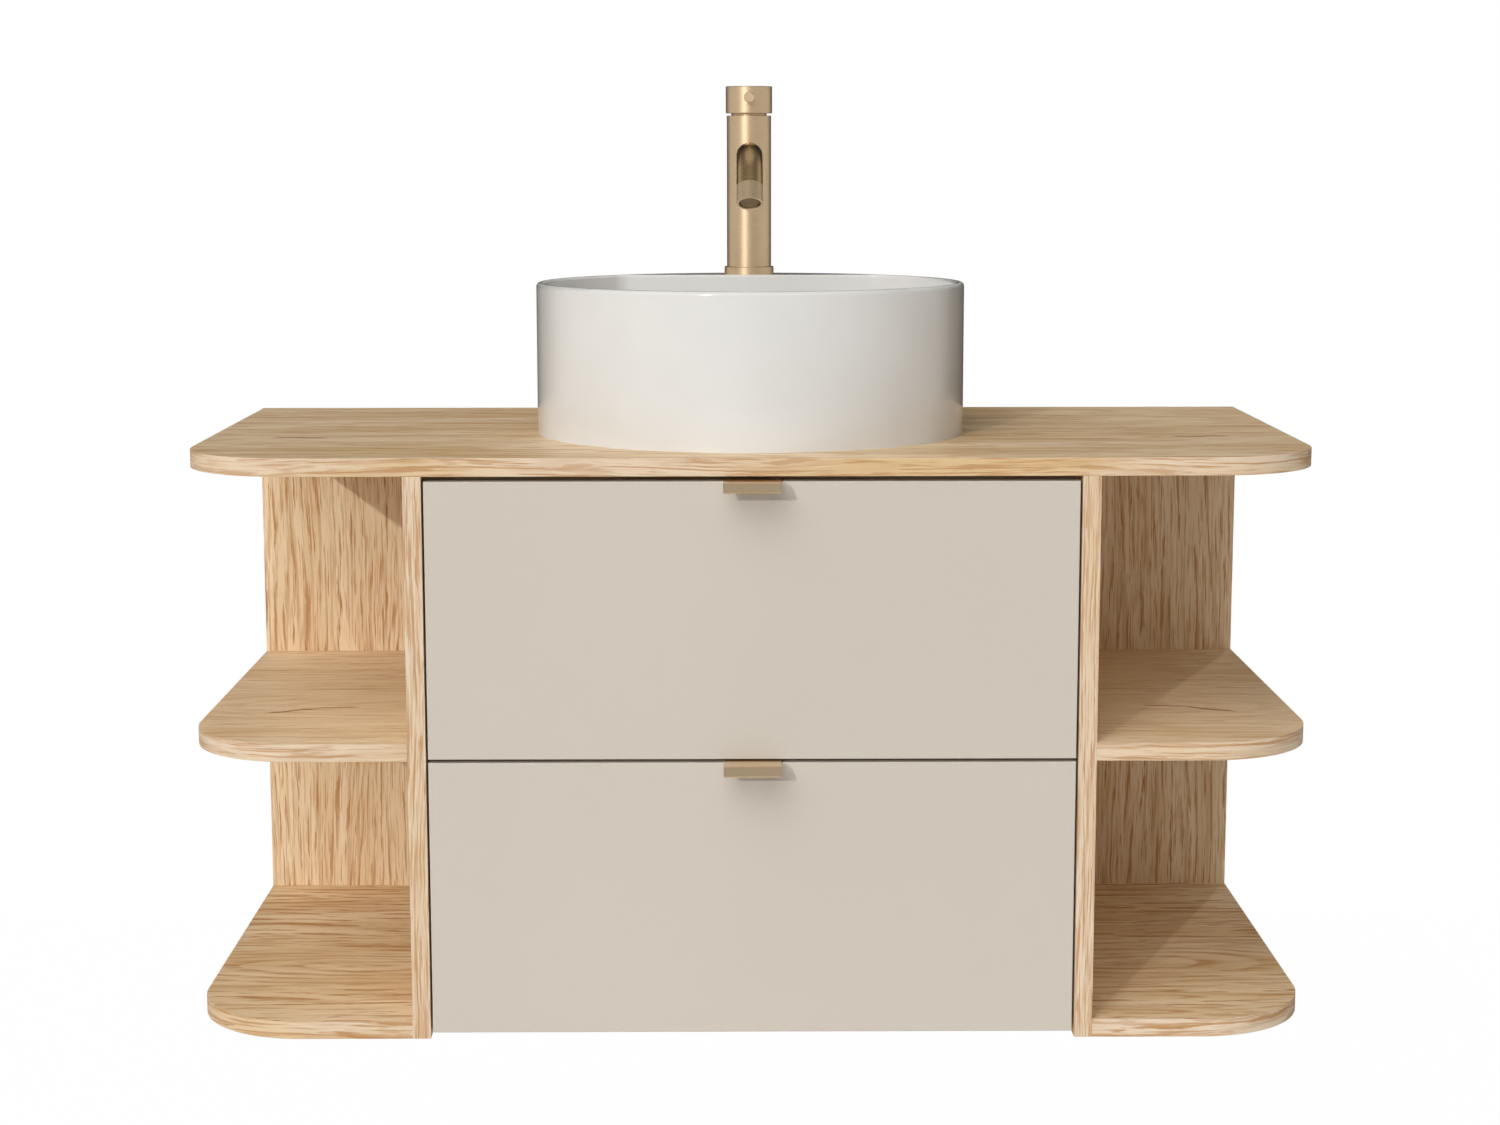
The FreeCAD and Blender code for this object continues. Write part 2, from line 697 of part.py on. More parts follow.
def make_pull(drawer, base):
    """An edge pull folded from strip: a tab behind the front, a top plate and a lip at 45 degrees."""
    top = f"({base} + {FRONT_HEIGHT})"
    name = f"{drawer}_pull"
    body = new_body(name + "_blank", ("-pull_width / 2", "0", "0"))
    sketch = new_sketch(body, name + "_section", "YZ_Plane")
    back, slant = FRONT_BACK, "(pull_sheet * sin(45 deg))"
    tip, upper = "(-overall_depth - pull_reach)", f"({top} + pull_sheet)"
    outer_bend = f"({tip} + pull_drop)"
    inner_bend = f"({outer_bend} - pull_sheet + 2 * {slant})"
    polygon(sketch, [
        (f"{back} + pull_sheet", f"{top} - pull_tab"), (f"{back} + pull_sheet", upper),
        (outer_bend, upper), (tip, f"{upper} - pull_drop"),
        (f"{tip} + {slant}", f"{upper} - pull_drop - {slant}"), (inner_bend, top),
        (back, top), (back, f"{top} - pull_tab"),
    ])
    pad(body, name + "_pad", sketch, "pull_width")
    bends = (
        ("outer", outer_bend, upper, "pull_bend"),
        ("inner", inner_bend, top, "pull_bend - pull_sheet"),
    )
    for side, y, z, radius in bends:
        fold = value_of(y), value_of(z)
        round_edges(body, f"{name}_{side}_bend", radius,
                    lambda middle, span, edge: near(middle.y, fold[0]) and near(middle.z, fold[1]))
    screws = []
    for hand, side in SIDES.items():
        spot = f"{side} * pull_screw_spacing / 2"
        height = f"{top} - pull_screw_drop"
        shank = rod(f"{name}_{hand}_shank", "screw_radius", "screw_length",
                    (spot, f"{back} + pull_sheet", height), TURN_Y.inverted())
        head = rod(f"{name}_{hand}_head", "screw_head_radius", "pull_screw_head",
                   (spot, f"{back} + pull_sheet", height), TURN_Y)
        screws.append(join(f"{name}_{hand}_screw", [shank, head]))
    node(cut(name, body, screws), name)
    node(group(f"{drawer}_pull_screws", screws), f"{drawer}_pull_screws")
    return screws


def make_box(drawer, base, height):
    """The drawer's box: two grooved sides, a bottom held in the grooves, and a back."""
    low = f"({base} + box_rise)"
    floor = f"({low} + bottom_rise)"
    inner = f"({BOX_HALF} - drawer_board)"
    half = f"({inner} + bottom_groove)"
    bottom = box(f"{drawer}_bottom_blank", (f"2 * {half}", "drawer_length", "drawer_bottom"),
                 (f"-{half}", FRONT_BACK, floor))
    for hand, side in SIDES.items():
        name = f"{drawer}_drawer_{hand}_side"
        board = box(name + "_blank", ("drawer_board", "drawer_length", height),
                    (f"{side} * ({BOX_HALF} - drawer_board / 2) - drawer_board / 2", FRONT_BACK, low))
        node(cut(name, board, [bottom]), name)
    back_base = f"({floor} + drawer_bottom)"
    back_height = f"({low} + {height} - {back_base})"
    name = f"{drawer}_drawer_back"
    spot = f"{BOX_BACK} - drawer_board"
    if drawer == "lower":
        size = (f"2 * {inner}", "drawer_board", back_height)
        node(box(name, size, (f"-{inner}", spot, back_base)), name)
        node(bottom, f"{drawer}_drawer_bottom")
        return
    outer = "(siphon_notch_half + siphon_guard_wall)"
    halves = [box(f"{name}_{hand}", (f"{inner} - {outer}", "drawer_board", back_height),
                  (f"-{inner}" if side < 0 else outer, spot, back_base)) for hand, side in SIDES.items()]
    node(group(name, halves), name)
    notch_front = f"({BASIN_Y} - siphon_notch_ahead)"
    reach = f"({BOX_BACK} - {notch_front})"
    notch = box("siphon_notch", ("2 * siphon_notch_half", f"{reach} + board", "drawer_bottom * 3"),
                ("-siphon_notch_half", notch_front, f"{floor} - drawer_bottom"))
    node(cut(f"{drawer}_drawer_bottom", bottom, [notch]), f"{drawer}_drawer_bottom")
    shell = box("siphon_guard_outside", (f"2 * {outer}", f"{reach} + siphon_guard_wall", back_height),
                (f"-{outer}", f"{notch_front} - siphon_guard_wall", back_base))
    hollow = box("siphon_guard_hollow", ("2 * siphon_notch_half", f"{reach} + board", "carcass_height"),
                 ("-siphon_notch_half", notch_front, "0"))
    node(cut("siphon_guard", shell, [hollow]), "siphon_guard")


def make_drawers():
    for drawer, (base, height) in DRAWERS.items():
        screws = make_pull(drawer, base)
        make_front(drawer, base, screws)
        make_box(drawer, base, height)


# ---------------------------------------------------------------- basin

def make_basin():
    """A round straight-sided bowl with a flat tap deck across its back.

    The bowl is a disc cut off by a chord; the deck behind the chord is hollow from below.
    """
    inner = "(basin_radius - basin_wall)"
    body = new_body("basin_body", ("0", BASIN_Y, COUNTER_TOP))
    outline = new_sketch(body, "basin_outline", "XY_Plane")
    circle(outline, "basin_radius")
    pad(body, "basin_block", outline, "basin_height")
    bowl = new_sketch(body, "basin_bowl_outline", "XY_Plane", "basin_height")
    chord_outline(bowl, inner, "deck_front", -1)
    pocket(body, "basin_bowl", bowl, "bowl_depth")
    top, floor = value_of("basin_height"), value_of("basin_height - bowl_depth")
    chord, radius = value_of("deck_front"), value_of(inner)

    def within_bowl(point):
        return math.hypot(point.x, point.y) < radius + EDGE_SLACK

    def in_bowl_corner(middle, span, edge):
        return abs(span.z) > EDGE_SLACK and near(middle.y, chord) and within_bowl(middle)

    round_edges(body, "basin_bowl_corners", "bowl_corner_radius", in_bowl_corner)
    round_edges(body, "basin_bowl_floor", "bowl_floor_radius",
                lambda middle, span, edge: near(middle.z, floor) and near(span.z, 0))
    outside = value_of("basin_radius")
    round_edges(body, "basin_rim_outside", "rim_outer_radius",
                lambda middle, span, edge: near(middle.z, top)
                and near(math.hypot(middle.x, middle.y), outside))
    round_edges(body, "basin_rim_inside", "rim_inner_radius",
                lambda middle, span, edge: near(middle.z, top) and near(span.z, 0) and within_bowl(middle))
    hollow = new_sketch(body, "basin_deck_hollow_outline", "XY_Plane", "0")
    chord_outline(hollow, inner, "deck_front + deck_wall", 1)
    pocket(body, "basin_deck_hollow", hollow, "basin_height - deck_thickness", upward=True)
    hollow_bowl_floor(body)
    drain = rod("basin_drain_hole", "waste_radius + waste_hole_play", "basin_height",
                ("0", BASIN_Y, COUNTER_TOP))
    tap = rod("basin_tap_hole", "tap_hole_radius", "basin_height", ("0", TAP_Y, COUNTER_TOP))
    node(cut("basin", body, [drain, tap]), "basin")


def hollow_bowl_floor(body):
    """A shallow fall in the bowl's floor, level at its outer edge, down to a flat seat for the waste."""
    floor, seat = "(basin_height - bowl_depth)", "(waste_flange_radius + waste_hole_play)"
    run = f"(bowl_dish_radius - {seat})"
    bulge = f"(({run} * {run} + bowl_dish * bowl_dish) / (2 * bowl_dish))"
    sketch = new_sketch(body, "basin_dish_profile", "XZ_Plane")
    corners = [(seat, f"{floor} - bowl_dish"), ("0", f"{floor} - bowl_dish"), ("0", floor),
               ("bowl_dish_radius", floor)]
    points = [FreeCAD.Vector(value_of(x), value_of(y), 0) for x, y in corners]
    for i in range(3):
        sketch.addGeometry(Part.LineSegment(points[i], points[i + 1]), False)
        hold_point(sketch, i, 2, corners[i + 1], points[i + 1])
    for i in range(2):
        sketch.addConstraint(Sketcher.Constraint("Coincident", i, 2, i + 1, 1))
    sketch.addConstraint(Sketcher.Constraint("Horizontal", 0))
    radius = value_of(bulge)
    centre = points[3] - FreeCAD.Vector(0, radius, 0)
    swing = math.asin(value_of(run) / radius)
    disc = Part.Circle(centre, FreeCAD.Vector(0, 0, 1), radius)
    arc = sketch.addGeometry(Part.ArcOfCircle(disc, math.pi / 2, math.pi / 2 + swing), False)
    hold_point(sketch, arc, 3, ("bowl_dish_radius", f"{floor} - {bulge}"), centre)
    sketch.addConstraint(Sketcher.Constraint("Coincident", arc, 1, 2, 2))
    sketch.addConstraint(Sketcher.Constraint("Coincident", arc, 2, 0, 1))
    groove = body.newObject("PartDesign::Groove", "basin_dish")
    groove.Profile = sketch
    groove.ReferenceAxis = (sketch, ["V_Axis"])
    groove.Angle = 360
    doc.recompute()


# ---------------------------------------------------------------- waste, plug and trap

def make_waste():
    """A flanged waste with a guide for the plug, clamped by a nut; returns the washer above the nut."""
    bore = "(waste_radius - waste_wall)"
    tube = turned("waste_tube", ("0", BASIN_Y, "0"), [
        (bore, WASTE_END), ("waste_radius", WASTE_END), ("waste_radius", DRAIN_TOP),
        ("waste_flange_radius - lead_in", DRAIN_TOP),
        ("waste_flange_radius", f"{DRAIN_TOP} + waste_flange_height / 3"),
        ("waste_flange_radius - waste_flange_height", f"{DRAIN_TOP} + waste_flange_height"),
        (bore, f"{DRAIN_TOP} + waste_flange_height"),
    ])
    base = f"({DRAIN_TOP} - guide_drop)"
    hub = rod("waste_hub", "guide_radius", "guide_height", ("0", BASIN_Y, base))
    spokes = [
        box("waste_spoke_across", (f"2 * {bore}", "spoke_width", "guide_height"),
            (f"-{bore}", f"{BASIN_Y} - spoke_width / 2", base)),
        box("waste_spoke_along", ("spoke_width", f"2 * {bore}", "guide_height"),
            ("-spoke_width / 2", f"{BASIN_Y} - {bore}", base)),
    ]
    guide = rod("waste_guide_bore", "plug_stem_radius + stem_play", "guide_height * 3",
                ("0", BASIN_Y, f"{base} - guide_height"))
    node(cut("waste_body", join("waste_casting", [tube, hub] + spokes), [guide]), "waste_body")
    washer_base = "(carcass_height - seal_thickness)"
    washer = turned("waste_washer", ("0", BASIN_Y, washer_base), [
        ("waste_radius", "0"), ("waste_flange_radius", "0"), ("waste_flange_radius", "seal_thickness"),
        ("waste_radius", "seal_thickness")])
    nut_base = f"({washer_base} - waste_nut_height)"
    hexagon = prism("waste_nut_hexagon", "waste_nut_radius", "waste_nut_height", ("0", BASIN_Y, nut_base))
    hole = rod("waste_nut_hole", "waste_radius", "waste_nut_height * 2",
               ("0", BASIN_Y, f"{nut_base} - waste_nut_height / 2"))
    node(cut("waste_nut", hexagon, [hole]), "waste_nut")
    return washer


def make_plug():
    """The mushroom plug that covers the waste, on a stem that slides in the guide."""
    under = f"({DRAIN_TOP} + waste_flange_height + plug_lift)"
    node(turned("drain_plug", ("0", BASIN_Y, under), [
        ("0", "-plug_stem_length"), ("plug_stem_radius - lead_in", "-plug_stem_length"),
        ("plug_stem_radius", "-plug_stem_length + lead_in"), ("plug_stem_radius", "0"),
        ("plug_radius - lead_in", "0"), ("plug_radius", "lead_in"),
        ("plug_radius - lead_in", "plug_height * 0.5"), ("plug_radius * 0.8", "plug_height * 0.8"),
        ("plug_radius * 0.45", "plug_height"), ("0", "plug_height"),
    ]), "drain_plug")


def make_trap():
    """A bottle trap: an inlet pipe, a head with a side branch, a bottle that unscrews and a wall pipe."""
    bore = "(pipe_radius - pipe_wall)"
    node(turned("trap_inlet_pipe", ("0", BASIN_Y, "0"), [
        (bore, "trap_bottom + trap_radius"), ("pipe_radius", "trap_bottom + trap_radius"),
        ("pipe_radius", WASTE_END), (bore, WASTE_END)]), "trap_inlet_pipe")
    inside = "(trap_radius - trap_wall)"
    shell = turned("trap_head_shell", ("0", BASIN_Y, "0"), [
        ("pipe_radius", "trap_top"), ("pipe_radius", "trap_top - trap_wall"),
        (inside, "trap_top - trap_wall"),
        (inside, "trap_joint"), ("trap_radius", "trap_joint"), ("trap_radius", "trap_top - trap_wall"),
        ("trap_radius - trap_wall", "trap_top")])
    branch_y = f"({BASIN_Y} + trap_radius - trap_wall / 2)"
    branch = rod("trap_branch_tube", "pipe_radius + trap_wall", "trap_branch",
                 ("0", branch_y, "trap_outlet_height"), TURN_Y)
    way = rod("trap_branch_bore", "pipe_radius", "trap_branch * 2",
              ("0", f"{BASIN_Y} + trap_radius / 2 + trap_wall", "trap_outlet_height"), TURN_Y)
    inlet = rod("trap_inlet_clear", "pipe_radius", "trap_top", ("0", BASIN_Y, "0"))
    node(cut("trap_head", join("trap_head_casting", [shell, branch]), [way, inlet]), "trap_head")
    outer = "(trap_radius + trap_wall)"
    node(turned("trap_bottle", ("0", BASIN_Y, "0"), [
        ("0", "trap_bottom"), (f"{outer} - bottle_taper", "trap_bottom"),
        (outer, "trap_bottom + bottle_taper"), (outer, "trap_joint + trap_thread"),
        ("trap_radius", "trap_joint + trap_thread"),
        ("trap_radius", "trap_bottom + trap_wall + bottle_round"),
        ("trap_radius - bottle_round", "trap_bottom + trap_wall"),
        ("0", "trap_bottom + trap_wall")]), "trap_bottle")
    start = f"({BASIN_Y} + trap_radius + trap_wall)"
    run = f"(-wall_clearance - {start})"
    mark = f"({run} - spigot_length)"
    node(turned("trap_outlet_pipe", ("0", start, "trap_outlet_height"), [
        (bore, "0"), ("pipe_radius", "0"), ("pipe_radius", f"{mark} - pipe_mark"),
        ("pipe_radius - pipe_mark / 3", f"{mark} - pipe_mark"), ("pipe_radius - pipe_mark / 3", mark),
        ("pipe_radius", mark), ("pipe_radius", run), (bore, run)], TURN_Y), "trap_outlet_pipe")
    node(group("trap_nuts", [inlet_nut(), outlet_nut(branch_y)]), "trap_nuts")


def inlet_nut():
    """The nut that seals the waste's tail to the inlet pipe, gripping both."""
    base = f"({WASTE_END} - trap_nut_height / 2)"
    body = turned("trap_inlet_nut", ("0", BASIN_Y, base), [
        ("pipe_radius", "0"), ("trap_nut_radius - lead_in", "0"), ("trap_nut_radius", "lead_in"),
        ("trap_nut_radius", "trap_nut_height"), ("waste_radius", "trap_nut_height"),
        ("waste_radius", "trap_nut_height / 2"), ("pipe_radius", "trap_nut_height / 2")])
    return body


def outlet_nut(branch_y):
    """The nut over the branch's mouth, gripping the outlet pipe."""
    mouth = f"({branch_y} + trap_branch)"
    base = f"({mouth} - trap_nut_height / 2)"
    return turned("trap_outlet_nut", ("0", base, "trap_outlet_height"), [
        ("pipe_radius + trap_wall", "0"), ("trap_nut_radius", "0"),
        ("trap_nut_radius", "trap_nut_height - lead_in"), ("trap_nut_radius - lead_in", "trap_nut_height"),
        ("pipe_radius", "trap_nut_height"),
        ("pipe_radius", "trap_nut_height / 2"), ("pipe_radius + trap_wall", "trap_nut_height / 2")], TURN_Y)


# ---------------------------------------------------------------- basin mixer

def tap_piece(name, base, outline):
    """A turned piece on the mixer's axis."""
    return node(turned(name, ("0", TAP_Y, base), outline), name)


def make_tap_body():
    outside = turned("tap_body_blank", ("0", TAP_Y, DECK_TOP), [
        ("0", "-shank_length"), ("shank_radius", "-shank_length"), ("shank_radius", "0"),
        ("tap_radius", "0"),
        ("tap_radius", "tap_height - fine_break"), ("tap_radius - fine_break", "tap_height"),
        ("ring_thread_radius", "tap_height"), ("ring_thread_radius", "tap_height - ring_thread_depth"),
        ("cartridge_radius", "tap_height - ring_thread_depth"),
        ("cartridge_radius", "tap_height - ring_thread_depth - cartridge_height"),
        ("0", "tap_height - ring_thread_depth - cartridge_height"),
    ])
    inlets = [rod(f"tap_inlet_{hand}", "inlet_radius", "inlet_depth",
                  (f"{side} * inlet_spacing / 2", TAP_Y, f"{DECK_TOP} - shank_length"))
              for hand, side in SIDES.items()]
    socket = rod("tap_spout_socket", "spout_radius", "tap_radius", ("0", f"{TAP_Y} - spout_socket", SPOUT_Z),
                 TURN_Y.inverted())
    port = rod("tap_spout_port", "spout_bore", "spout_socket + cut_overrun", ("0", TAP_Y, SPOUT_Z),
               TURN_Y.inverted())
    rise = "tap_height - spout_height - cartridge_height - ring_thread_depth + cut_overrun"
    riser = rod("tap_riser", "port_radius", rise, ("0", f"{TAP_Y} - spout_socket / 2", SPOUT_Z))
    passages = join("tap_passages", [socket, port, riser])
    node(cut("tap_body", outside, [passages] + inlets), "tap_body")


def make_tap_fixings():
    """What holds the mixer to the deck: the flange above, and washer and nut below; returns the gasket."""
    tap_piece("tap_flange", DECK_TOP, [
        ("tap_radius", "0"), ("flange_radius", "0"), ("flange_radius", "flange_height - soft_break"),
        ("flange_radius - soft_break", "flange_height"), ("tap_radius", "flange_height")])
    under = f"({DECK_TOP} - deck_thickness)"
    ring = [("shank_radius", "-seal_thickness"), ("tap_gasket_radius", "-seal_thickness"),
            ("tap_gasket_radius", "0"), ("shank_radius", "0")]
    gasket = turned("tap_gasket", ("0", TAP_Y, under), ring)
    tap_piece("tap_washer", f"({under} - seal_thickness)", ring)
    base = f"({under} - 2 * seal_thickness - tap_nut_height)"
    hexagon = prism("tap_nut_hexagon", "tap_nut_radius", "tap_nut_height", ("0", TAP_Y, base))
    hole = rod("tap_nut_hole", "shank_radius", "tap_nut_height * 2",
               ("0", TAP_Y, f"{base} - tap_nut_height / 2"))
    node(cut("tap_nut", hexagon, [hole]), "tap_nut")
    return gasket


def make_cartridge():
    """The valve cartridge, the ring that screws down on it and the carrier that turns in the ring."""
    base = f"({TAP_TOP} - ring_thread_depth - cartridge_height)"
    tap_piece("cartridge", base, [
        ("0", "0"), ("cartridge_radius", "0"), ("cartridge_radius", "cartridge_height"),
        ("0", "cartridge_height")])
    tap_piece("cartridge_ring", TAP_TOP, [
        ("ring_bore_radius", "-ring_thread_depth"), ("ring_thread_radius", "-ring_thread_depth"),
        ("ring_thread_radius", "0"), ("ring_radius", "0"), ("ring_radius", "ring_neck"),
        ("ring_bore_radius", "ring_neck")])
    spindle = turned("carrier_spindle", ("0", TAP_Y, TAP_TOP), [
        ("0", "-ring_thread_depth + carrier_gap"),
        ("ring_bore_radius - spindle_play", "-ring_thread_depth + carrier_gap"),
        ("ring_bore_radius - spindle_play", "ring_neck + carrier_gap"),
        ("carrier_plate_radius", "ring_neck + carrier_gap"),
        ("carrier_plate_radius", "ring_neck + carrier_gap + carrier_plate"),
        ("0", "ring_neck + carrier_gap + carrier_plate")])
    ears = [box(f"carrier_ear_{hand}", ("ear_outer - ear_inner", "ear_depth", "ear_height"),
                ("ear_inner" if side > 0 else "-ear_outer", f"{ROCKER_Y} - ear_depth / 2",
                 f"{CARRIER_BASE} + carrier_plate")) for hand, side in SIDES.items()]
    pin = rod("rocker_pin_blank", "rocker_radius", "2 * ear_outer",
              ("-ear_outer", ROCKER_Y, ROCKER_Z), TURN_X)
    foot = rod("carrier_outline", "carrier_plate_radius", "rocker_height * 2",
               ("0", TAP_Y, f"{TAP_TOP} - board / 2"))
    casting = doc.addObject("Part::MultiCommon", "carrier_trimmed")
    casting.Shapes = [join("carrier_casting", [spindle] + ears), foot]
    node(cut("cartridge_carrier", casting, [pin]), "cartridge_carrier")
    trimmed = doc.addObject("Part::MultiCommon", "rocker_pin_ends")
    trimmed.Shapes = [pin, foot]
    node(trimmed, "rocker_pin")


def make_handle():
    """The handle: a cap, a round lever through its front, and the block that rocks on the carrier's pin."""
    inside = "(cap_radius - cap_wall)"
    cap = turned("handle_cap_blank", ("0", TAP_Y, CAP_BASE), [
        (inside, "0"), ("cap_radius - fine_break", "0"), ("cap_radius", "fine_break"),
        ("cap_radius", "cap_height - soft_break"), ("cap_radius - soft_break", "cap_height"),
        ("0", "cap_height"), ("0", "cap_height - cap_top"),
        (inside, "cap_height - cap_top")])
    lever_z = f"({TAP_TOP} + lever_height)"
    block_front = f"({TAP_Y} - block_front)"
    stem = rod("lever_stem", "lever_radius", "cap_radius + lever_length - block_front",
               ("0", block_front, lever_z), TURN_Y.inverted())
    stud = rod("lever_stud", "lever_stud_radius", "lever_stud_length", ("0", block_front, lever_z), TURN_Y)
    lever_blank = join("lever_blank", [stem, stud])
    tip = doc.addObject("Part::Chamfer", "lever_tip")
    tip.Base = lever_blank
    doc.recompute()
    front = value_of(f"{TAP_Y} - cap_radius - lever_length")
    ends = edges_where(lever_blank.Shape, lambda middle, span, edge: near(middle.y, front))
    size = value_of("edge_break")
    tip.Edges = [(int(name[len("Edge"):]), size, size) for name in ends]
    grub = rod("grub_blank", "grub_radius", "cap_radius - block_rear",
               ("0", f"{TAP_Y} + block_rear", lever_z), TURN_Y)
    barrel = rod("grub_outline", "cap_radius - grub_set_back", "cap_height", ("0", TAP_Y, CAP_BASE))
    screw = doc.addObject("Part::MultiCommon", "grub_trimmed")
    screw.Shapes = [grub, barrel]
    block_low = f"({TAP_TOP} + block_base)"
    ceiling = f"({CAP_BASE} + cap_height - cap_top)"
    size = ("2 * block_half", "block_front + block_rear", f"{ceiling} - {block_low}")
    blank = box("lever_block_blank", size, ("-block_half", block_front, block_low))
    eye = rod("lever_block_eye", "rocker_radius + rocker_play", "4 * block_half",
              ("-2 * block_half", ROCKER_Y, ROCKER_Z), TURN_X)
    node(cut("handle_cap", cap, [stem, grub]), "handle_cap")
    node(tip, "handle_lever")
    node(cut("lever_block", blank, [stud, eye]), "lever_block")
    node(screw, "handle_grub_screw")


def spout_frame(along, fall):
    """A point on the mixer's centre plane: along is forward from its axis, fall is down from the spout."""
    return ("0", f"{TAP_Y} - ({along})", f"{SPOUT_Z} - ({fall})")


def spout_end(tail):
    """How far forward and down the spout's centre line reaches after a straight tail of this length."""
    turn = "(spout_bend_angle * 1 deg)"
    reach = f"(spout_bend_start + spout_bend_radius * sin({turn}) + {tail} * cos({turn}))"
    fall = f"(spout_bend_radius * (1 - cos({turn})) + {tail} * sin({turn}))"
    return reach, fall


def make_spout():
    """A tube that leaves the body level, bends down and ends in a collar with an aerator."""
    angle = value_of("spout_bend_angle")
    body = new_body("spout_tube", spout_frame("0", "0"))
    path = new_sketch(body, "spout_path", "YZ_Plane")
    start, bend = value_of("spout_socket"), value_of("spout_bend_start")
    radius, tail = value_of("spout_bend_radius"), value_of("spout_tail - collar_length")
    turn = math.radians(angle)
    corner = FreeCAD.Vector(-bend - radius * math.sin(turn), -radius * (1 - math.cos(turn)), 0)
    heading = FreeCAD.Vector(-math.cos(turn), -math.sin(turn), 0)
    near_end, far_end = FreeCAD.Vector(-start, 0, 0), FreeCAD.Vector(-bend, 0, 0)
    level = path.addGeometry(Part.LineSegment(near_end, far_end), False)
    ring = Part.Circle(FreeCAD.Vector(-bend, -radius, 0), FreeCAD.Vector(0, 0, 1), radius)
    arc = path.addGeometry(Part.ArcOfCircle(ring, math.pi / 2, math.pi / 2 + turn), False)
    drop = path.addGeometry(Part.LineSegment(corner, corner + heading * tail), False)
    path.addConstraint(Sketcher.Constraint("Tangent", level, 2, arc, 1))
    path.addConstraint(Sketcher.Constraint("Tangent", arc, 2, drop, 1))
    hold_point(path, level, 1, ("-spout_socket", "0"), near_end)
    hold_point(path, level, 2, ("-spout_bend_start", "0"), far_end)
    number = path.addConstraint(Sketcher.Constraint("Radius", arc, radius))
    bind(path, f"Constraints[{number}]", "spout_bend_radius")
    reach, fall = spout_end("(spout_tail - collar_length)")
    hold_point(path, drop, 2, (f"-{reach}", f"-{fall}"), corner + heading * tail)
    section = new_sketch(body, "spout_section", "XZ_Plane", "spout_socket")
    circle(section, "spout_radius")
    circle(section, "spout_bore")
    pipe = body.newObject("PartDesign::AdditivePipe", "spout_sweep")
    pipe.Profile = section
    pipe.Spine = (path, [])
    doc.recompute()
    node(body, "spout_tube")
    make_spout_end(angle)


def make_spout_end(angle):
    """The collar and aerator, turned about the spout's outlet axis; heights run back from the outlet."""
    outlet = spout_frame(*spout_end("spout_tail"))
    rotation = FreeCAD.Rotation(FreeCAD.Vector(1, 0, 0), -(90 - angle))
    collar = turned("spout_collar", outlet, [
        ("collar_bore", "0"), ("spout_radius - edge_break", "0"), ("spout_radius", "edge_break"),
        ("spout_radius", "collar_length - seam"), ("spout_radius - seam", "collar_length"),
        ("spout_bore", "collar_length"), ("spout_bore", "collar_length - aerator_shoulder / 2"),
        ("collar_bore", "collar_length - aerator_shoulder / 2")], rotation)
    node(collar, "spout_collar")
    top = "(aerator_recess + aerator_height)"
    aerator = turned("aerator", outlet, [
        ("0", "aerator_recess - fine_break"), ("aerator_button", "aerator_recess - fine_break"),
        ("aerator_button", "aerator_recess"), ("aerator_radius - fine_break", "aerator_recess"),
        ("aerator_radius", "aerator_recess + fine_break"), ("aerator_radius", f"{top} - aerator_shoulder"),
        ("collar_bore", f"{top} - aerator_shoulder"), ("collar_bore", top), ("0", top)], rotation)
    node(aerator, "aerator")


# ---------------------------------------------------------------- build, check and write

runner_screws = make_runner_screws()
dowel_sets = make_dowels()
make_countertop(dowel_sets)
make_sides(dowel_sets)
make_bays(dowel_sets)
make_rails(dowel_sets)
node(group("dowels", [pin for pins in dowel_sets.values() for pin in pins]), "dowels")
node(group("runner_screws", runner_screws), "runner_screws")
make_runners()
make_drawers()
make_basin()
waste_washer = make_waste()
make_plug()
make_trap()
make_tap_body()
tap_gasket = make_tap_fixings()
node(group("rubber_washers", [waste_washer, tap_gasket]), "rubber_washers")
make_cartridge()
make_handle()
make_spout()
doc.recompute()

faults = []
for item in doc.Objects:
    if "Invalid" in item.State or "Error" in item.State:
        faults.append(f"{item.Label}: {item.State}")
for item in nodes:
    if item.Shape.isNull() or not item.Shape.isValid() or not item.Shape.Solids:
        faults.append(f"{item.Label}: shape is null, empty or not valid")
if faults:
    raise RuntimeError("the model did not build:\n" + "\n".join(faults))

os.makedirs("parts", exist_ok=True)
for item in nodes:
    item.Shape.exportStep(f"parts/{item.Label}.step")
    size = item.Shape.BoundBox
    print(f"{item.Label:26s} solids {len(item.Shape.Solids):3d}  volume {item.Shape.Volume:12.1f}  "
          f"X {size.XMin:8.2f} {size.XMax:8.2f}  Y {size.YMin:8.2f} {size.YMax:8.2f}  "
          f"Z {size.ZMin:8.2f} {size.ZMax:8.2f}")
print(len(nodes), "pieces")
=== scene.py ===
import json
import math
from collections import namedtuple

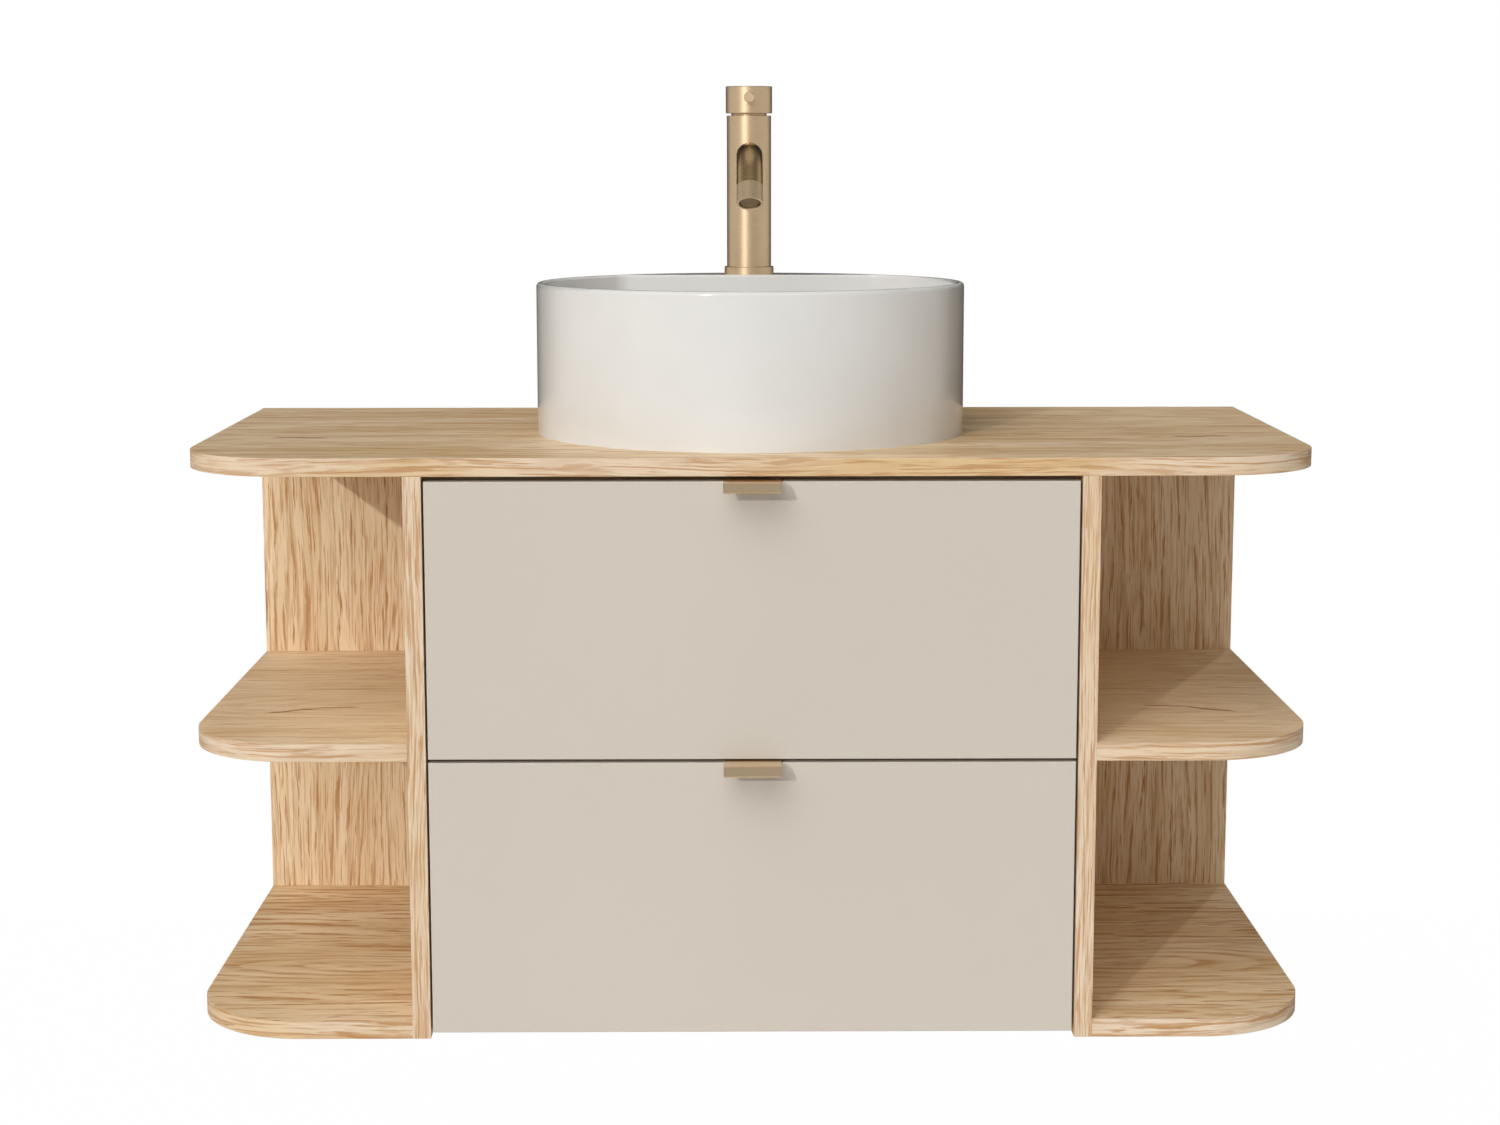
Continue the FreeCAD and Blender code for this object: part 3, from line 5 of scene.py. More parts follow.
import bmesh
import bpy
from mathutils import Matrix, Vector

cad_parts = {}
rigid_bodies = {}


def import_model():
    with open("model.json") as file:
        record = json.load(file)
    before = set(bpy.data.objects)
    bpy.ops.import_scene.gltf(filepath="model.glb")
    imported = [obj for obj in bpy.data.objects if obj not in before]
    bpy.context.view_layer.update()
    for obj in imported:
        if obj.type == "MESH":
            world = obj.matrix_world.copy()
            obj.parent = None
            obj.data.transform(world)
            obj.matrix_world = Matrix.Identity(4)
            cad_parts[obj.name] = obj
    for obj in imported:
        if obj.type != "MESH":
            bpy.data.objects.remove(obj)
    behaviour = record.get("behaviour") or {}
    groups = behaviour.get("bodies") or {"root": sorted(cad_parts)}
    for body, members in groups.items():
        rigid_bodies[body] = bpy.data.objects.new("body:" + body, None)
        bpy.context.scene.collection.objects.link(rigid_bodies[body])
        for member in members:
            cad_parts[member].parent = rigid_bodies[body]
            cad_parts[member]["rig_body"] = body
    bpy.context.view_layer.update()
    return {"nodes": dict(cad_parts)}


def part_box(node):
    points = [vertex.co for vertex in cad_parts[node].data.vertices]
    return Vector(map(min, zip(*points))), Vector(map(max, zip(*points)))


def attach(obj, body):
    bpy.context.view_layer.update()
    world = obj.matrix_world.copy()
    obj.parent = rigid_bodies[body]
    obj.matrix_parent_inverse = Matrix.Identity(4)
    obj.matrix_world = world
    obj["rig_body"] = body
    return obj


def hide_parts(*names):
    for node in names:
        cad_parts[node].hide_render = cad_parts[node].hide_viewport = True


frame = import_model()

# Wall-hung vanity with a round basin and a brushed mixer.  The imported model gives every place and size;
# this script refines the boards, gives each piece its finish, and sets up the floor, lights and camera.
# Metres: +X right, +Y into the wall, +Z up.

node_objects = frame["nodes"]
top_low, top_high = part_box("countertop")
X, Y, Z = range(3)


# ---------------------------------------------------------------- building node trees

# The Mix node's sockets, which share their names between its kinds.
MIX_FACTOR = 0
MIX_NUMBERS = (2, 3)
MIX_COLOURS = (6, 7)
MIX_COLOUR_OUT = 2

# A noise's mean, and the stretches of its values over which it makes a change.
NOISE_MEAN = 0.5
MIDDLE, NARROW, BROAD, UPPER, HIGH = (0.3, 0.7), (0.35, 0.65), (0.25, 0.75), (0.35, 0.7), (0.3, 0.8)


def linear(red, green, blue):
    """A colour given as 0-255 display values, in the linear values that nodes take."""
    def one(v):
        v /= 255
        return v / 12.92 if v <= 0.04045 else ((v + 0.055) / 1.055) ** 2.4
    return (one(red), one(green), one(blue), 1.0)


def dimmed(colour, share):
    return tuple(v * share for v in colour[:3]) + (1.0,)


class Nodes:
    """A node tree under construction: most methods add one node and return its output socket."""

    def __init__(self, tree):
        self.tree = tree

    def put(self, socket, source):
        """Links an output to a socket, or sets the socket to a plain value."""
        if isinstance(source, bpy.types.NodeSocket):
            self.tree.links.new(source, socket)
        else:
            socket.default_value = source

    def fill(self, sockets, sources):
        for socket, source in zip(sockets, sources):
            self.put(socket, source)

    def add(self, kind, **settings):
        node = self.tree.nodes.new(kind)
        for key, value in settings.items():
            setattr(node, key, value)
        return node

    def split(self, vector):
        node = self.add("ShaderNodeSeparateXYZ")
        self.put(node.inputs[0], vector)
        return node.outputs

    def joined(self, x, y, z):
        node = self.add("ShaderNodeCombineXYZ")
        self.fill(node.inputs, (x, y, z))
        return node.outputs[0]

    def calc(self, operation, *values):
        node = self.add("ShaderNodeMath", operation=operation)
        self.fill(node.inputs, values)
        return node.outputs[0]

    def plus(self, a, b):
        return self.calc("ADD", a, b)

    def minus(self, a, b):
        return self.calc("SUBTRACT", a, b)

    def times(self, a, b, *more):
        product = self.calc("MULTIPLY", a, b)
        for factor in more:
            product = self.calc("MULTIPLY", product, factor)
        return product

    def largest(self, a, b):
        return self.calc("MAXIMUM", a, b)

    def size(self, value):
        return self.calc("ABSOLUTE", value)

    def span(self, value, low, high, to_low=0.0, to_high=1.0, kind="SMOOTHSTEP"):
        """value, eased from low..high to to_low..to_high."""
        node = self.add("ShaderNodeMapRange", interpolation_type=kind)
        self.fill(node.inputs, (value, low, high, to_low, to_high))
        return node.outputs[0]

    def between(self, factor, a, b):
        """A number between a and b."""
        node = self.add("ShaderNodeMix")
        self.fill([node.inputs[i] for i in (MIX_FACTOR, *MIX_NUMBERS)], (factor, a, b))
        return node.outputs[0]

    def blend(self, factor, a, b):
        """A colour between a and b."""
        node = self.add("ShaderNodeMix", data_type="RGBA")
        self.fill([node.inputs[i] for i in (MIX_FACTOR, *MIX_COLOURS)], (factor, a, b))
        return node.outputs[MIX_COLOUR_OUT]


class Finish(Nodes):
    """A new material and the nodes of its shader."""

    def __init__(self, name, **sockets):
        self.material = bpy.data.materials.new(name)
        self.material.use_nodes = True
        super().__init__(self.material.node_tree)
        self.shader = self.tree.nodes["Principled BSDF"]
        for socket, value in sockets.items():
            self.shader.inputs[socket.replace("_", " ")].default_value = value

    def place(self):
        """The point in the part's own frame: every piece's object sits at the origin."""
        return self.add("ShaderNodeTexCoord").outputs["Object"]

    def grain(self):
        """Where a point lies on its board: along the grain, then across it."""
        return self.add("ShaderNodeUVMap", uv_map="grain").outputs["UV"]

    def noise(self, vector, factors, detail=2.0, roughness=0.5, distortion=0.0, offset=(0, 0, 0)):
        """Noise with factors cells per unit of vector, or the same number of them every way."""
        mapping = self.add("ShaderNodeMapping")
        self.put(mapping.inputs["Vector"], vector)
        mapping.inputs["Scale"].default_value = factors if isinstance(factors, tuple) else (factors,) * 3
        mapping.inputs["Location"].default_value = offset
        node = self.add("ShaderNodeTexNoise")
        self.put(node.inputs["Vector"], mapping.outputs[0])
        for socket, value in (("Scale", 1.0), ("Detail", detail), ("Roughness", roughness),
                              ("Distortion", distortion)):
            node.inputs[socket].default_value = value
        return node.outputs["Fac"]

    def colour(self, source):
        self.put(self.shader.inputs["Base Color"], source)

    def rough(self, value, within, roughness):
        """Roughness that goes from one value to the other while value goes through within."""
        self.put(self.shader.inputs["Roughness"], self.span(value, *within, *roughness))

    def bump(self, height, distance, strength):
        node = self.add("ShaderNodeBump")
        node.inputs["Distance"].default_value = distance
        node.inputs["Strength"].default_value = strength
        self.put(node.inputs["Height"], height)
        self.put(self.shader.inputs["Normal"], node.outputs[0])


# ---------------------------------------------------------------- oak

# How far across the grain map each kind of face is put, so that no two kinds share their figure.
FRONT_FACES, BACK_FACES, LONG_EDGES, END_EDGES = 0.0, 3.0, 7.0, 9.0
EDGES_BEGIN = (4.0, 6.0)

OAK_PALE = linear(242, 221, 190)
OAK_MID = linear(233, 206, 167)
OAK_BAND = linear(218, 186, 138)
OAK_EDGE = linear(223, 203, 180)
OAK_STREAK = linear(184, 130, 70)
OAK_DARK = linear(146, 84, 38)
OAK_GLOSS = 0.8
OAK_ROUGHNESS = (0.5, 0.66)
OAK_RELIEF, OAK_RELIEF_STRENGTH = 0.00012, 0.6

# Oak's noises: cells per metre along and across the grain, then detail and roughness.
DRIFT = (2.2, 9.0), 2.0, 0.55
RIPPLE = (26.0, 60.0), 3.0, 0.65
PORES = (22.0, 700.0), 2.5, 0.62
LONG_PORES = (9.0, 330.0), 2.0, 0.55
LAYERS = (12.0, 420.0), 3.0, 0.6
FIBRE = (60.0, 1500.0), 3.0, 0.6
TONE = (3.0, 50.0), 3.0, 0.6
SWAY = (60.0, 10.0), 2.0, 0.5

# How the rings wander, in shares of the board's swirl, and how much of that the streaks follow.
DRIFT_SHARE, RIPPLE_SHARE, STREAKS_FOLLOW = 6.0, 0.6, 0.35
# Where the porous early wood rises and falls within a ring, as shares of the ring.
EARLY_RISES, EARLY_FALLS = (0.0, 0.12), (0.2, 0.7, 1.0, 0.0)
# Which part of each noise becomes a mark.
DASHES, LINES, PLIES = (0.51, 0.61), (0.53, 0.64), (0.48, 0.64)
FIBRES, TONES = (0.34, 0.66), (0.36, 0.66)
# How plainly the marks show: the part that depends on the early wood, then the part that doesn't.
DASHES_IN_RINGS, LINES_IN_RINGS = (0.5, 0.5), (0.5, 0.4)
PLY_DEPTH, EDGE_PALENESS, FIBRE_RELIEF = 0.8, 0.7, 0.25
# The cathedral: how far from the heart it fades, how its lines break up, and how far it clears the dashes.
FIGURE_FADES, FIGURE_BREAKS, FIGURE_CLEARS = (0.03, 0.085), (0.4, 0.56, 0.25, 1.0), 0.6
# A crack, as placed on a board along and across the grain.
Crack = namedtuple("Crack", "along across length slope gap")
# How far cracks waver, where their ends and sides fade, and their depth.
CRACK_SWAY, CRACK_ENDS, CRACK_CORE, CRACK_RELIEF = 0.012, (0.3, 0.5), 0.3, 2.0


def oak(name, seed, heart=(0.0, 0.6), tilt=0.08, spacing=0.006, streaks=0.75, fineness=1.0, width=1.0,
        swirl=0.012, cracks=(), bands=0.3, figure=0.0):
    """Oak veneer.

    heart is where the log's centre line meets the board's face, along and across the grain, tilt how
    steeply it dives, and spacing the width of a ring.  streaks is how plainly the pores show, width how
    wide they are next to their length, bands how much the tone changes across the grain, and figure how
    plainly the rings show as a cathedral.
    """
    f = Finish(name, Specular_IOR_Level=OAK_GLOSS)

    def veneer(vector, kind, offset=(0, 0, 0), fine=1.0, wide=1.0):
        (lengthwise, crosswise), detail, roughness = kind
        return f.noise(vector, (lengthwise * fine, crosswise * fine / wide, 1), detail, roughness,
                       offset=offset)

    uv = f.grain()
    s, c, _ = f.split(uv)
    drift = veneer(uv, DRIFT, (seed, seed * 2, seed))
    ripple = veneer(uv, RIPPLE, (seed, 0, seed))
    shifted = f.plus(f.times(f.minus(drift, NOISE_MEAN), swirl * DRIFT_SHARE),
                     f.times(f.minus(ripple, NOISE_MEAN), swirl * RIPPLE_SHARE))
    across = f.minus(f.plus(c, shifted), heart[1])
    along = f.times(f.minus(s, heart[0]), tilt)
    radius = f.calc("SQRT", f.plus(f.times(across, across), f.times(along, along)))
    ring = f.calc("FRACT", f.calc("DIVIDE", radius, spacing))
    early = f.times(f.span(ring, *EARLY_RISES), f.span(ring, *EARLY_FALLS))

    cells = f.joined(s, f.plus(c, f.times(shifted, STREAKS_FOLLOW)), seed)
    pores = veneer(cells, PORES, (seed, seed, 0), fineness, width)
    long_pores = veneer(cells, LONG_PORES, (0, seed * 3, 0), fineness, width)
    layers = veneer(cells, LAYERS, (seed * 2, 0, 0))
    fibre = veneer(cells, FIBRE)
    tone = veneer(cells, TONE, (seed, 0, 0), wide=math.sqrt(width))
    edge = f.span(c, *EDGES_BEGIN)

    mask = f.largest(f.times(f.span(pores, *DASHES), f.calc("MULTIPLY_ADD", early, *DASHES_IN_RINGS)),
                     f.times(f.span(long_pores, *LINES), f.calc("MULTIPLY_ADD", early, *LINES_IN_RINGS)))
    if figure:
        close = f.span(f.size(across), *FIGURE_FADES, figure, 0.0)
        broken = f.span(pores, *FIGURE_BREAKS)
        cleared = f.times(mask, f.minus(1.0, f.times(close, FIGURE_CLEARS)))
        mask = f.largest(cleared, f.times(early, close, broken))
    mask = f.times(mask, streaks)
    mask = f.largest(mask, f.times(edge, f.span(layers, *PLIES), PLY_DEPTH))

    ground = f.blend(f.span(fibre, *FIBRES), OAK_PALE, OAK_MID)
    ground = f.blend(f.times(edge, EDGE_PALENESS), ground, OAK_EDGE)
    ground = f.blend(f.times(f.span(tone, *TONES), bands), ground, OAK_BAND)
    wood = f.blend(mask, ground, OAK_STREAK)
    height = f.minus(f.times(fibre, FIBRE_RELIEF), mask)
    for crack in cracks:
        u = f.minus(s, crack.along)
        sway = f.times(f.minus(veneer(uv, SWAY, (seed, 0, 0)), NOISE_MEAN), CRACK_SWAY)
        v = f.plus(f.minus(f.minus(c, crack.across), f.times(u, crack.slope)), sway)
        reach = f.span(f.size(u), *(crack.length * share for share in CRACK_ENDS), 1.0, 0.0)
        slit = f.times(reach, f.span(f.size(v), crack.gap * CRACK_CORE, crack.gap, 1.0, 0.0))
        wood = f.blend(slit, wood, OAK_DARK)
        height = f.minus(height, f.times(slit, CRACK_RELIEF))
    f.colour(wood)
    f.rough(mask, (0.0, 1.0), OAK_ROUGHNESS)
    f.bump(height, OAK_RELIEF, OAK_RELIEF_STRENGTH)
    return f.material


# ---------------------------------------------------------------- the other finishes

# The numbers that name a noise are its cells per metre.

def melamine(name, base):
    """Melamine facing with a faint linen grain, for the drawer boxes."""
    fine, coarse, darkening = 1800, 160, 0.9
    f = Finish(name)
    at = f.place()
    weave = f.noise(at, (fine, coarse, coarse), roughness=0.6)
    cross = f.noise(at, (coarse, coarse, fine), roughness=0.6)
    both = f.times(f.plus(weave, cross), 1 / 2)
    f.colour(f.blend(f.span(both, *NARROW), base, dimmed(base, darkening)))
    f.rough(both, MIDDLE, (0.42, 0.55))
    f.bump(both, distance=0.00008, strength=0.5)
    return f.material


def lacquer(name, base):
    """Smooth matt lacquer: a very fine spray texture and a faint unevenness of tone."""
    unevenness, droplets, darkening = 2.5, 900, 0.965
    f = Finish(name, Specular_IOR_Level=0.35)
    at = f.place()
    cloud = f.noise(at, unevenness, detail=3.0)
    spray = f.noise(at, droplets)
    f.colour(f.blend(f.span(cloud, *MIDDLE), base, dimmed(base, darkening)))
    f.rough(spray, MIDDLE, (0.44, 0.54))
    f.bump(spray, distance=0.00003, strength=0.35)
    return f.material


def glaze(name, base, pooled):
    """Gloss white glaze, with the slight waviness and pooled tone of a fired surface."""
    waves, specks = 9, 420
    f = Finish(name, Specular_IOR_Level=0.5, Coat_Weight=0.3, Coat_Roughness=0.04)
    at = f.place()
    wave = f.noise(at, waves)
    speck = f.noise(at, specks)
    f.colour(f.blend(f.span(wave, *BROAD), base, pooled))
    f.rough(speck, HIGH, (0.1, 0.16))
    f.bump(wave, distance=0.0004, strength=0.3)
    return f.material


BRASS = linear(240, 216, 182)
BRASS_DEEP = linear(228, 202, 164)


def brushed(name, stretch, turned=None, base=BRASS, deep=BRASS_DEEP, roughness=(0.46, 0.52),
            anisotropy=0.5):
    """Brushed metal.  stretch is how fast the brushing changes along X, Y and Z; turned is the vertical
    axis that the piece was brushed round, and then stretch is along the angle, nothing, and Z."""
    finer, brush_share, fine_share = 3, 0.65, 0.35
    f = Finish(name, Metallic=1.0, Anisotropic=anisotropy, Anisotropic_Rotation=0.25)
    at = f.place()
    if turned:
        x, y, z = f.split(at)
        at = f.joined(f.calc("ARCTAN2", f.minus(x, turned.x), f.minus(y, turned.y)), 0.0, z)
        tangent = f.add("ShaderNodeTangent", direction_type="RADIAL", axis="Z")
        f.put(f.shader.inputs["Tangent"], tangent.outputs[0])
    brush = f.noise(at, stretch, detail=4.0, roughness=0.7)
    fine = f.noise(at, tuple(v * finer for v in stretch), roughness=0.6)
    both = f.plus(f.times(brush, brush_share), f.times(fine, fine_share))
    f.colour(f.blend(f.span(both, *MIDDLE), base, deep))
    f.rough(both, MIDDLE, roughness)
    f.bump(both, distance=0.000002, strength=0.2)
    return f.material


def plated(name, base):
    """Zinc-plated or machined metal, with the faint cloudiness of plating and fine drawing lines."""
    clouds, lines_across, lines_along = 60, 2200, 30
    cloud_share, line_share, darkening = 0.6, 0.4, 0.8
    f = Finish(name, Metallic=1.0)
    at = f.place()
    cloud = f.noise(at, clouds, detail=3.0, roughness=0.6)
    drawn = f.noise(at, (lines_across, lines_along, lines_across), roughness=0.6)
    both = f.plus(f.times(cloud, cloud_share), f.times(drawn, line_share))
    f.colour(f.blend(f.span(both, *UPPER), base, dimmed(base, darkening)))
    f.rough(both, MIDDLE, (0.28, 0.42))
    f.bump(drawn, distance=0.00002, strength=0.4)
    return f.material


def moulded(name, base, roughness=(0.28, 0.4), texture=700.0):
    """Moulded plastic with a faint flow pattern and a fine tool texture."""
    flow_marks, swirling, darkening = 22, 0.8, 0.92
    f = Finish(name)
    at = f.place()
    flow = f.noise(at, flow_marks, distortion=swirling)
    tool = f.noise(at, texture)
    f.colour(f.blend(f.span(flow, *UPPER), base, dimmed(base, darkening)))
    f.rough(tool, MIDDLE, roughness)
    f.bump(tool, distance=0.00004, strength=0.35)
    return f.material


# ---------------------------------------------------------------- boards

ARRIS, ARRIS_STEPS = 0.0005, 2
SHARP = math.radians(30)
SAME_FACE = math.radians(0.6)
SQUARE_ON = 0.7
CORNER_RADIUS = 0.1
MERGE = 1e-6


def clean_mesh(node):
    """The node's outline as a tidy mesh: its triangles joined into flat faces."""
    source = node_objects[node].data
    mesh = bmesh.new()
    corners = [mesh.verts.new(v.co) for v in source.vertices]
    for face in source.polygons:
        try:
            mesh.faces.new([corners[i] for i in face.vertices])
        except ValueError:  # the same triangle twice
            pass
    bmesh.ops.remove_doubles(mesh, verts=mesh.verts, dist=MERGE)
    bmesh.ops.dissolve_limit(mesh, angle_limit=SAME_FACE, verts=mesh.verts, edges=mesh.edges)
    return mesh


def around(x, y):
    """How far (x, y) lies along a shelf's outline, measured from the centre and round its front corner."""
    run = top_high.x - CORNER_RADIUS
    turn = top_low.y + CORNER_RADIUS
    side = 1 if x > 0 else -1
    if abs(x) <= run:
        return x
    if y < turn:
        return side * (run + CORNER_RADIUS * math.atan2(abs(x) - run, turn - y))
    return side * (run + CORNER_RADIUS * math.pi / 2 + y - turn)


def map_grain(mesh, along, depth):
    """Gives every face the map that the oak reads: metres along the grain, then across it."""
    layer = mesh.loops.layers.uv.new("grain")
    across = X + Y + Z - along - depth
    for face in mesh.faces:
        for loop in face.loops:
            p = loop.vert.co
            if abs(face.normal[depth]) > SQUARE_ON:
                kind = FRONT_FACES if face.normal[depth] > 0 else BACK_FACES
                loop[layer].uv = (p[along], p[across] + kind)
            elif depth == Z:
                loop[layer].uv = (around(p.x, p.y), p.z + LONG_EDGES)
            elif abs(face.normal[across]) > SQUARE_ON:
                loop[layer].uv = (p[along], p[depth] + LONG_EDGES)
            else:
                loop[layer].uv = (p[across], p[depth] + END_EDGES)


def board(node, material, along, depth):
    """A board with its sharp edges eased, which stands for the CAD node."""
    mesh = clean_mesh(node)
    edges = [e for e in mesh.edges if len(e.link_faces) == 2 and e.calc_face_angle(0) > SHARP]
    bmesh.ops.bevel(mesh, geom=edges, offset=ARRIS, segments=ARRIS_STEPS, profile=0.5, affect="EDGES",
                    clamp_overlap=True)
    map_grain(mesh, along, depth)
    data = bpy.data.meshes.new(node + "_board")
    mesh.to_mesh(data)
    mesh.free()
    data.materials.append(material)
    data.polygons.foreach_set("use_smooth", [True] * len(data.polygons))
    piece = bpy.data.objects.new(node + "_board", data)
    bpy.context.scene.collection.objects.link(piece)
    weighted = piece.modifiers.new("even_shading", "WEIGHTED_NORMAL")
    weighted.keep_sharp = False
    source = node_objects[node]
    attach(piece, source["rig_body"])
    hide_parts(node)


TOP_CRACK_FROM_END = 0.085
top_crack_at = top_high.x - TOP_CRACK_FROM_END
top_cracks = [Crack(side * top_crack_at, -0.3, length=0.06, slope=side * 0.16, gap=0.0042)
              for side in (1, -1)]
top_oak = oak("oak_top", 3.1, heart=(0.0, -0.7), tilt=0.05, spacing=0.017, streaks=0.6, fineness=0.8,
              width=4.5, bands=1.0, cracks=top_cracks)
board("countertop", top_oak, X, Z)
for side, hand in ((-1, "left"), (1, "right")):
    shelf_cracks = [Crack(side * 0.425, -0.33, length=0.05, slope=side * -0.5, gap=0.0038),
                    Crack(side * 0.385, -0.315, length=0.045, slope=side * -0.1, gap=0.0028)]
    middle = oak(f"oak_{hand}_middle", 8.3, heart=(side * 0.27, -0.31), tilt=0.22, spacing=0.011,
                 streaks=0.55, width=2.4, bands=0.5, figure=0.5, cracks=shelf_cracks)
    bottom = oak(f"oak_{hand}_bottom", 5.7, heart=(side * 0.36, -0.31), tilt=0.2, spacing=0.012,
                 streaks=0.95, fineness=0.9, width=3.6, bands=0.8, figure=0.8)
    board(f"{hand}_middle_shelf", middle, X, Z)
    board(f"{hand}_bottom_shelf", bottom, X, Z)
    back = oak(f"oak_{hand}_back", 2.4, heart=(0.04, side * 0.325), tilt=0.13, spacing=0.0085,
               streaks=1.0, width=1.05, bands=0.6, figure=1.0)
    board(f"{hand}_back_panel", back, Z, Y)
    panel = oak(f"oak_{hand}_side", 6.2, heart=(0.3, -0.2), tilt=0.06, spacing=0.009, streaks=0.8,
                width=1.2)
    board(f"{hand}_side_panel", panel, Z, X)

# The boards inside the cabinet have a plainer oak face.
inner = oak("oak_carcass", 1.3, heart=(0.0, 0.9), streaks=0.6, bands=0.5)
board("wall_rail_top", inner, X, Y)
board("wall_rail_bottom", inner, X, Y)
board("front_rail", inner, X, Z)
board("bottom_panel", inner, X, Z)

# ---------------------------------------------------------------- the other pieces

tap_low, tap_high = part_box("tap_body")
tap_axis = (tap_low + tap_high) / 2

finishes = {
    "drawer_board": melamine("melamine", linear(226, 223, 217)),
    "front_lacquer": lacquer("greige_lacquer", linear(206, 198, 187)),
    "ceramic": glaze("white_glaze", linear(228, 227, 225), linear(222, 221, 218)),
    "brushed_brass": brushed("brass_turned", (1.3, 0.0, 1500.0), tap_axis),
    "bare_brass": plated("machined_brass", linear(205, 165, 96)),
    "runner_steel": plated("zinc_runner", linear(196, 198, 202)),
    "screw_steel": plated("zinc_screw", linear(204, 206, 210)),
    "white_plastic": moulded("white_plastic", linear(236, 236, 233)),
    "cartridge_plastic": moulded("grey_plastic", linear(205, 207, 210), (0.4, 0.55)),
    "aerator_plastic": moulded("aerator_mesh", linear(140, 112, 78), (0.4, 0.6), 2600.0),
    "rubber": moulded("black_rubber", linear(38, 38, 38), (0.6, 0.8)),
    "dowel_wood": moulded("beech", linear(214, 180, 138), (0.5, 0.7)),
}
for piece in node_objects.values():
    slot = piece.data.materials[0].name if piece.data.materials else ""
    if slot in finishes:
        piece.data.materials[0] = finishes[slot]

# Brass pieces that were brushed straight have a finish of their own; the spout tube's darker base and deep
# colours are painted shade on the same brass.
straight_brushed = (
    (("upper_pull", "lower_pull"),
     brushed("brass_flat", (30.0, 1500.0, 1500.0), roughness=(0.16, 0.24), anisotropy=0.0)),
    (("handle_lever",),
     brushed("brass_lever", (900.0, 60.0, 900.0), roughness=(0.2, 0.28), anisotropy=0.0)),
    # Painted shade: the spout tube's base and deep colours are a darker copy of the same brass.
    (("spout_tube",),
     brushed("brass_spout_painted_shade", (900.0, 60.0, 60.0), roughness=(0.22, 0.3), anisotropy=0.0,
             base=linear(236, 204, 156), deep=linear(214, 178, 128))),
    (("spout_collar",),
     brushed("brass_collar", (1200.0, 200.0, 200.0), roughness=(0.46, 0.54), anisotropy=0.0)),
)
for nodes, brass in straight_brushed:
    for node in nodes:
        node_objects[node].data.materials[0] = brass

# ---------------------------------------------------------------- floor

FLOOR_DROP, FLOOR_REACH, FLOOR_BEHIND = 0.36, 12.0, 1.2
FLOOR_GREY, FLOOR_WHITE_TO_CAMERA = 0.8, 0.99

floor_mesh = bpy.data.meshes.new("floor")
floor_outline = ((-FLOOR_REACH, -FLOOR_REACH), (FLOOR_REACH, -FLOOR_REACH),
                 (FLOOR_REACH, FLOOR_BEHIND), (-FLOOR_REACH, FLOOR_BEHIND))
floor_mesh.from_pydata([(x, y, -FLOOR_DROP) for x, y in floor_outline], [], [(0, 1, 2, 3)])
floor = bpy.data.objects.new("floor", floor_mesh)
bpy.context.scene.collection.objects.link(floor)
# An ordinary pale floor to the piece, and almost white to the camera, like the photograph's background.
floor_finish = Finish("pale_floor", Roughness=0.9)
floor_finish.colour((FLOOR_GREY, FLOOR_GREY, FLOOR_GREY, 1.0))
emission = floor_finish.add("ShaderNodeEmission")
emission.inputs["Strength"].default_value = 1.0
seen = floor_finish.add("ShaderNodeLightPath").outputs["Is Camera Ray"]
both = floor_finish.add("ShaderNodeMixShader")
floor_finish.fill(both.inputs, (floor_finish.times(seen, FLOOR_WHITE_TO_CAMERA),
                                floor_finish.shader.outputs[0], emission.outputs[0]))
floor_finish.put(floor_finish.tree.nodes["Material Output"].inputs[0], both.outputs[0])
floor_mesh.materials.append(floor_finish.material)

# ---------------------------------------------------------------- surroundings

WHITE = (1.0, 1.0, 1.0, 1.0)
# What lights the piece: a dim room, darker behind, and a broad soft light high in front, a little left.
SOFT_LIGHT = (-0.3, -0.6, 0.74)
SOFT_POWER, SOFT_FOCUS = 3.8, 11.0
ROOM, ROOM_BEHIND, ROOM_TURNS = 0.26, 0.1, (0.3, 0.8)
ROOM_TINT, SOFT_TINT = (1.0, 0.97, 0.93, 1.0), (1.0, 1.0, 0.99, 1.0)
# What gloss mirrors instead, against the height and the depth of its direction: a bright horizon, a dark
# screen above it, a paler ceiling, and almost nothing behind.
MIRROR_HORIZON, MIRROR_SCREEN, MIRROR_CEILING = 0.7, 0.14, 0.28
HORIZON_TO_SCREEN, SCREEN_TO_CEILING = (0.1, 0.7), (0.8, 0.98)
MIRROR_BEHIND, MIRROR_TURNS = 0.05, (0.35, 0.78)

world = bpy.data.worlds.new("studio")
bpy.context.scene.world = world
world.use_nodes = True
sky = Nodes(world.node_tree)
direction = sky.add("ShaderNodeTexCoord").outputs["Generated"]
_, depth, height = sky.split(direction)

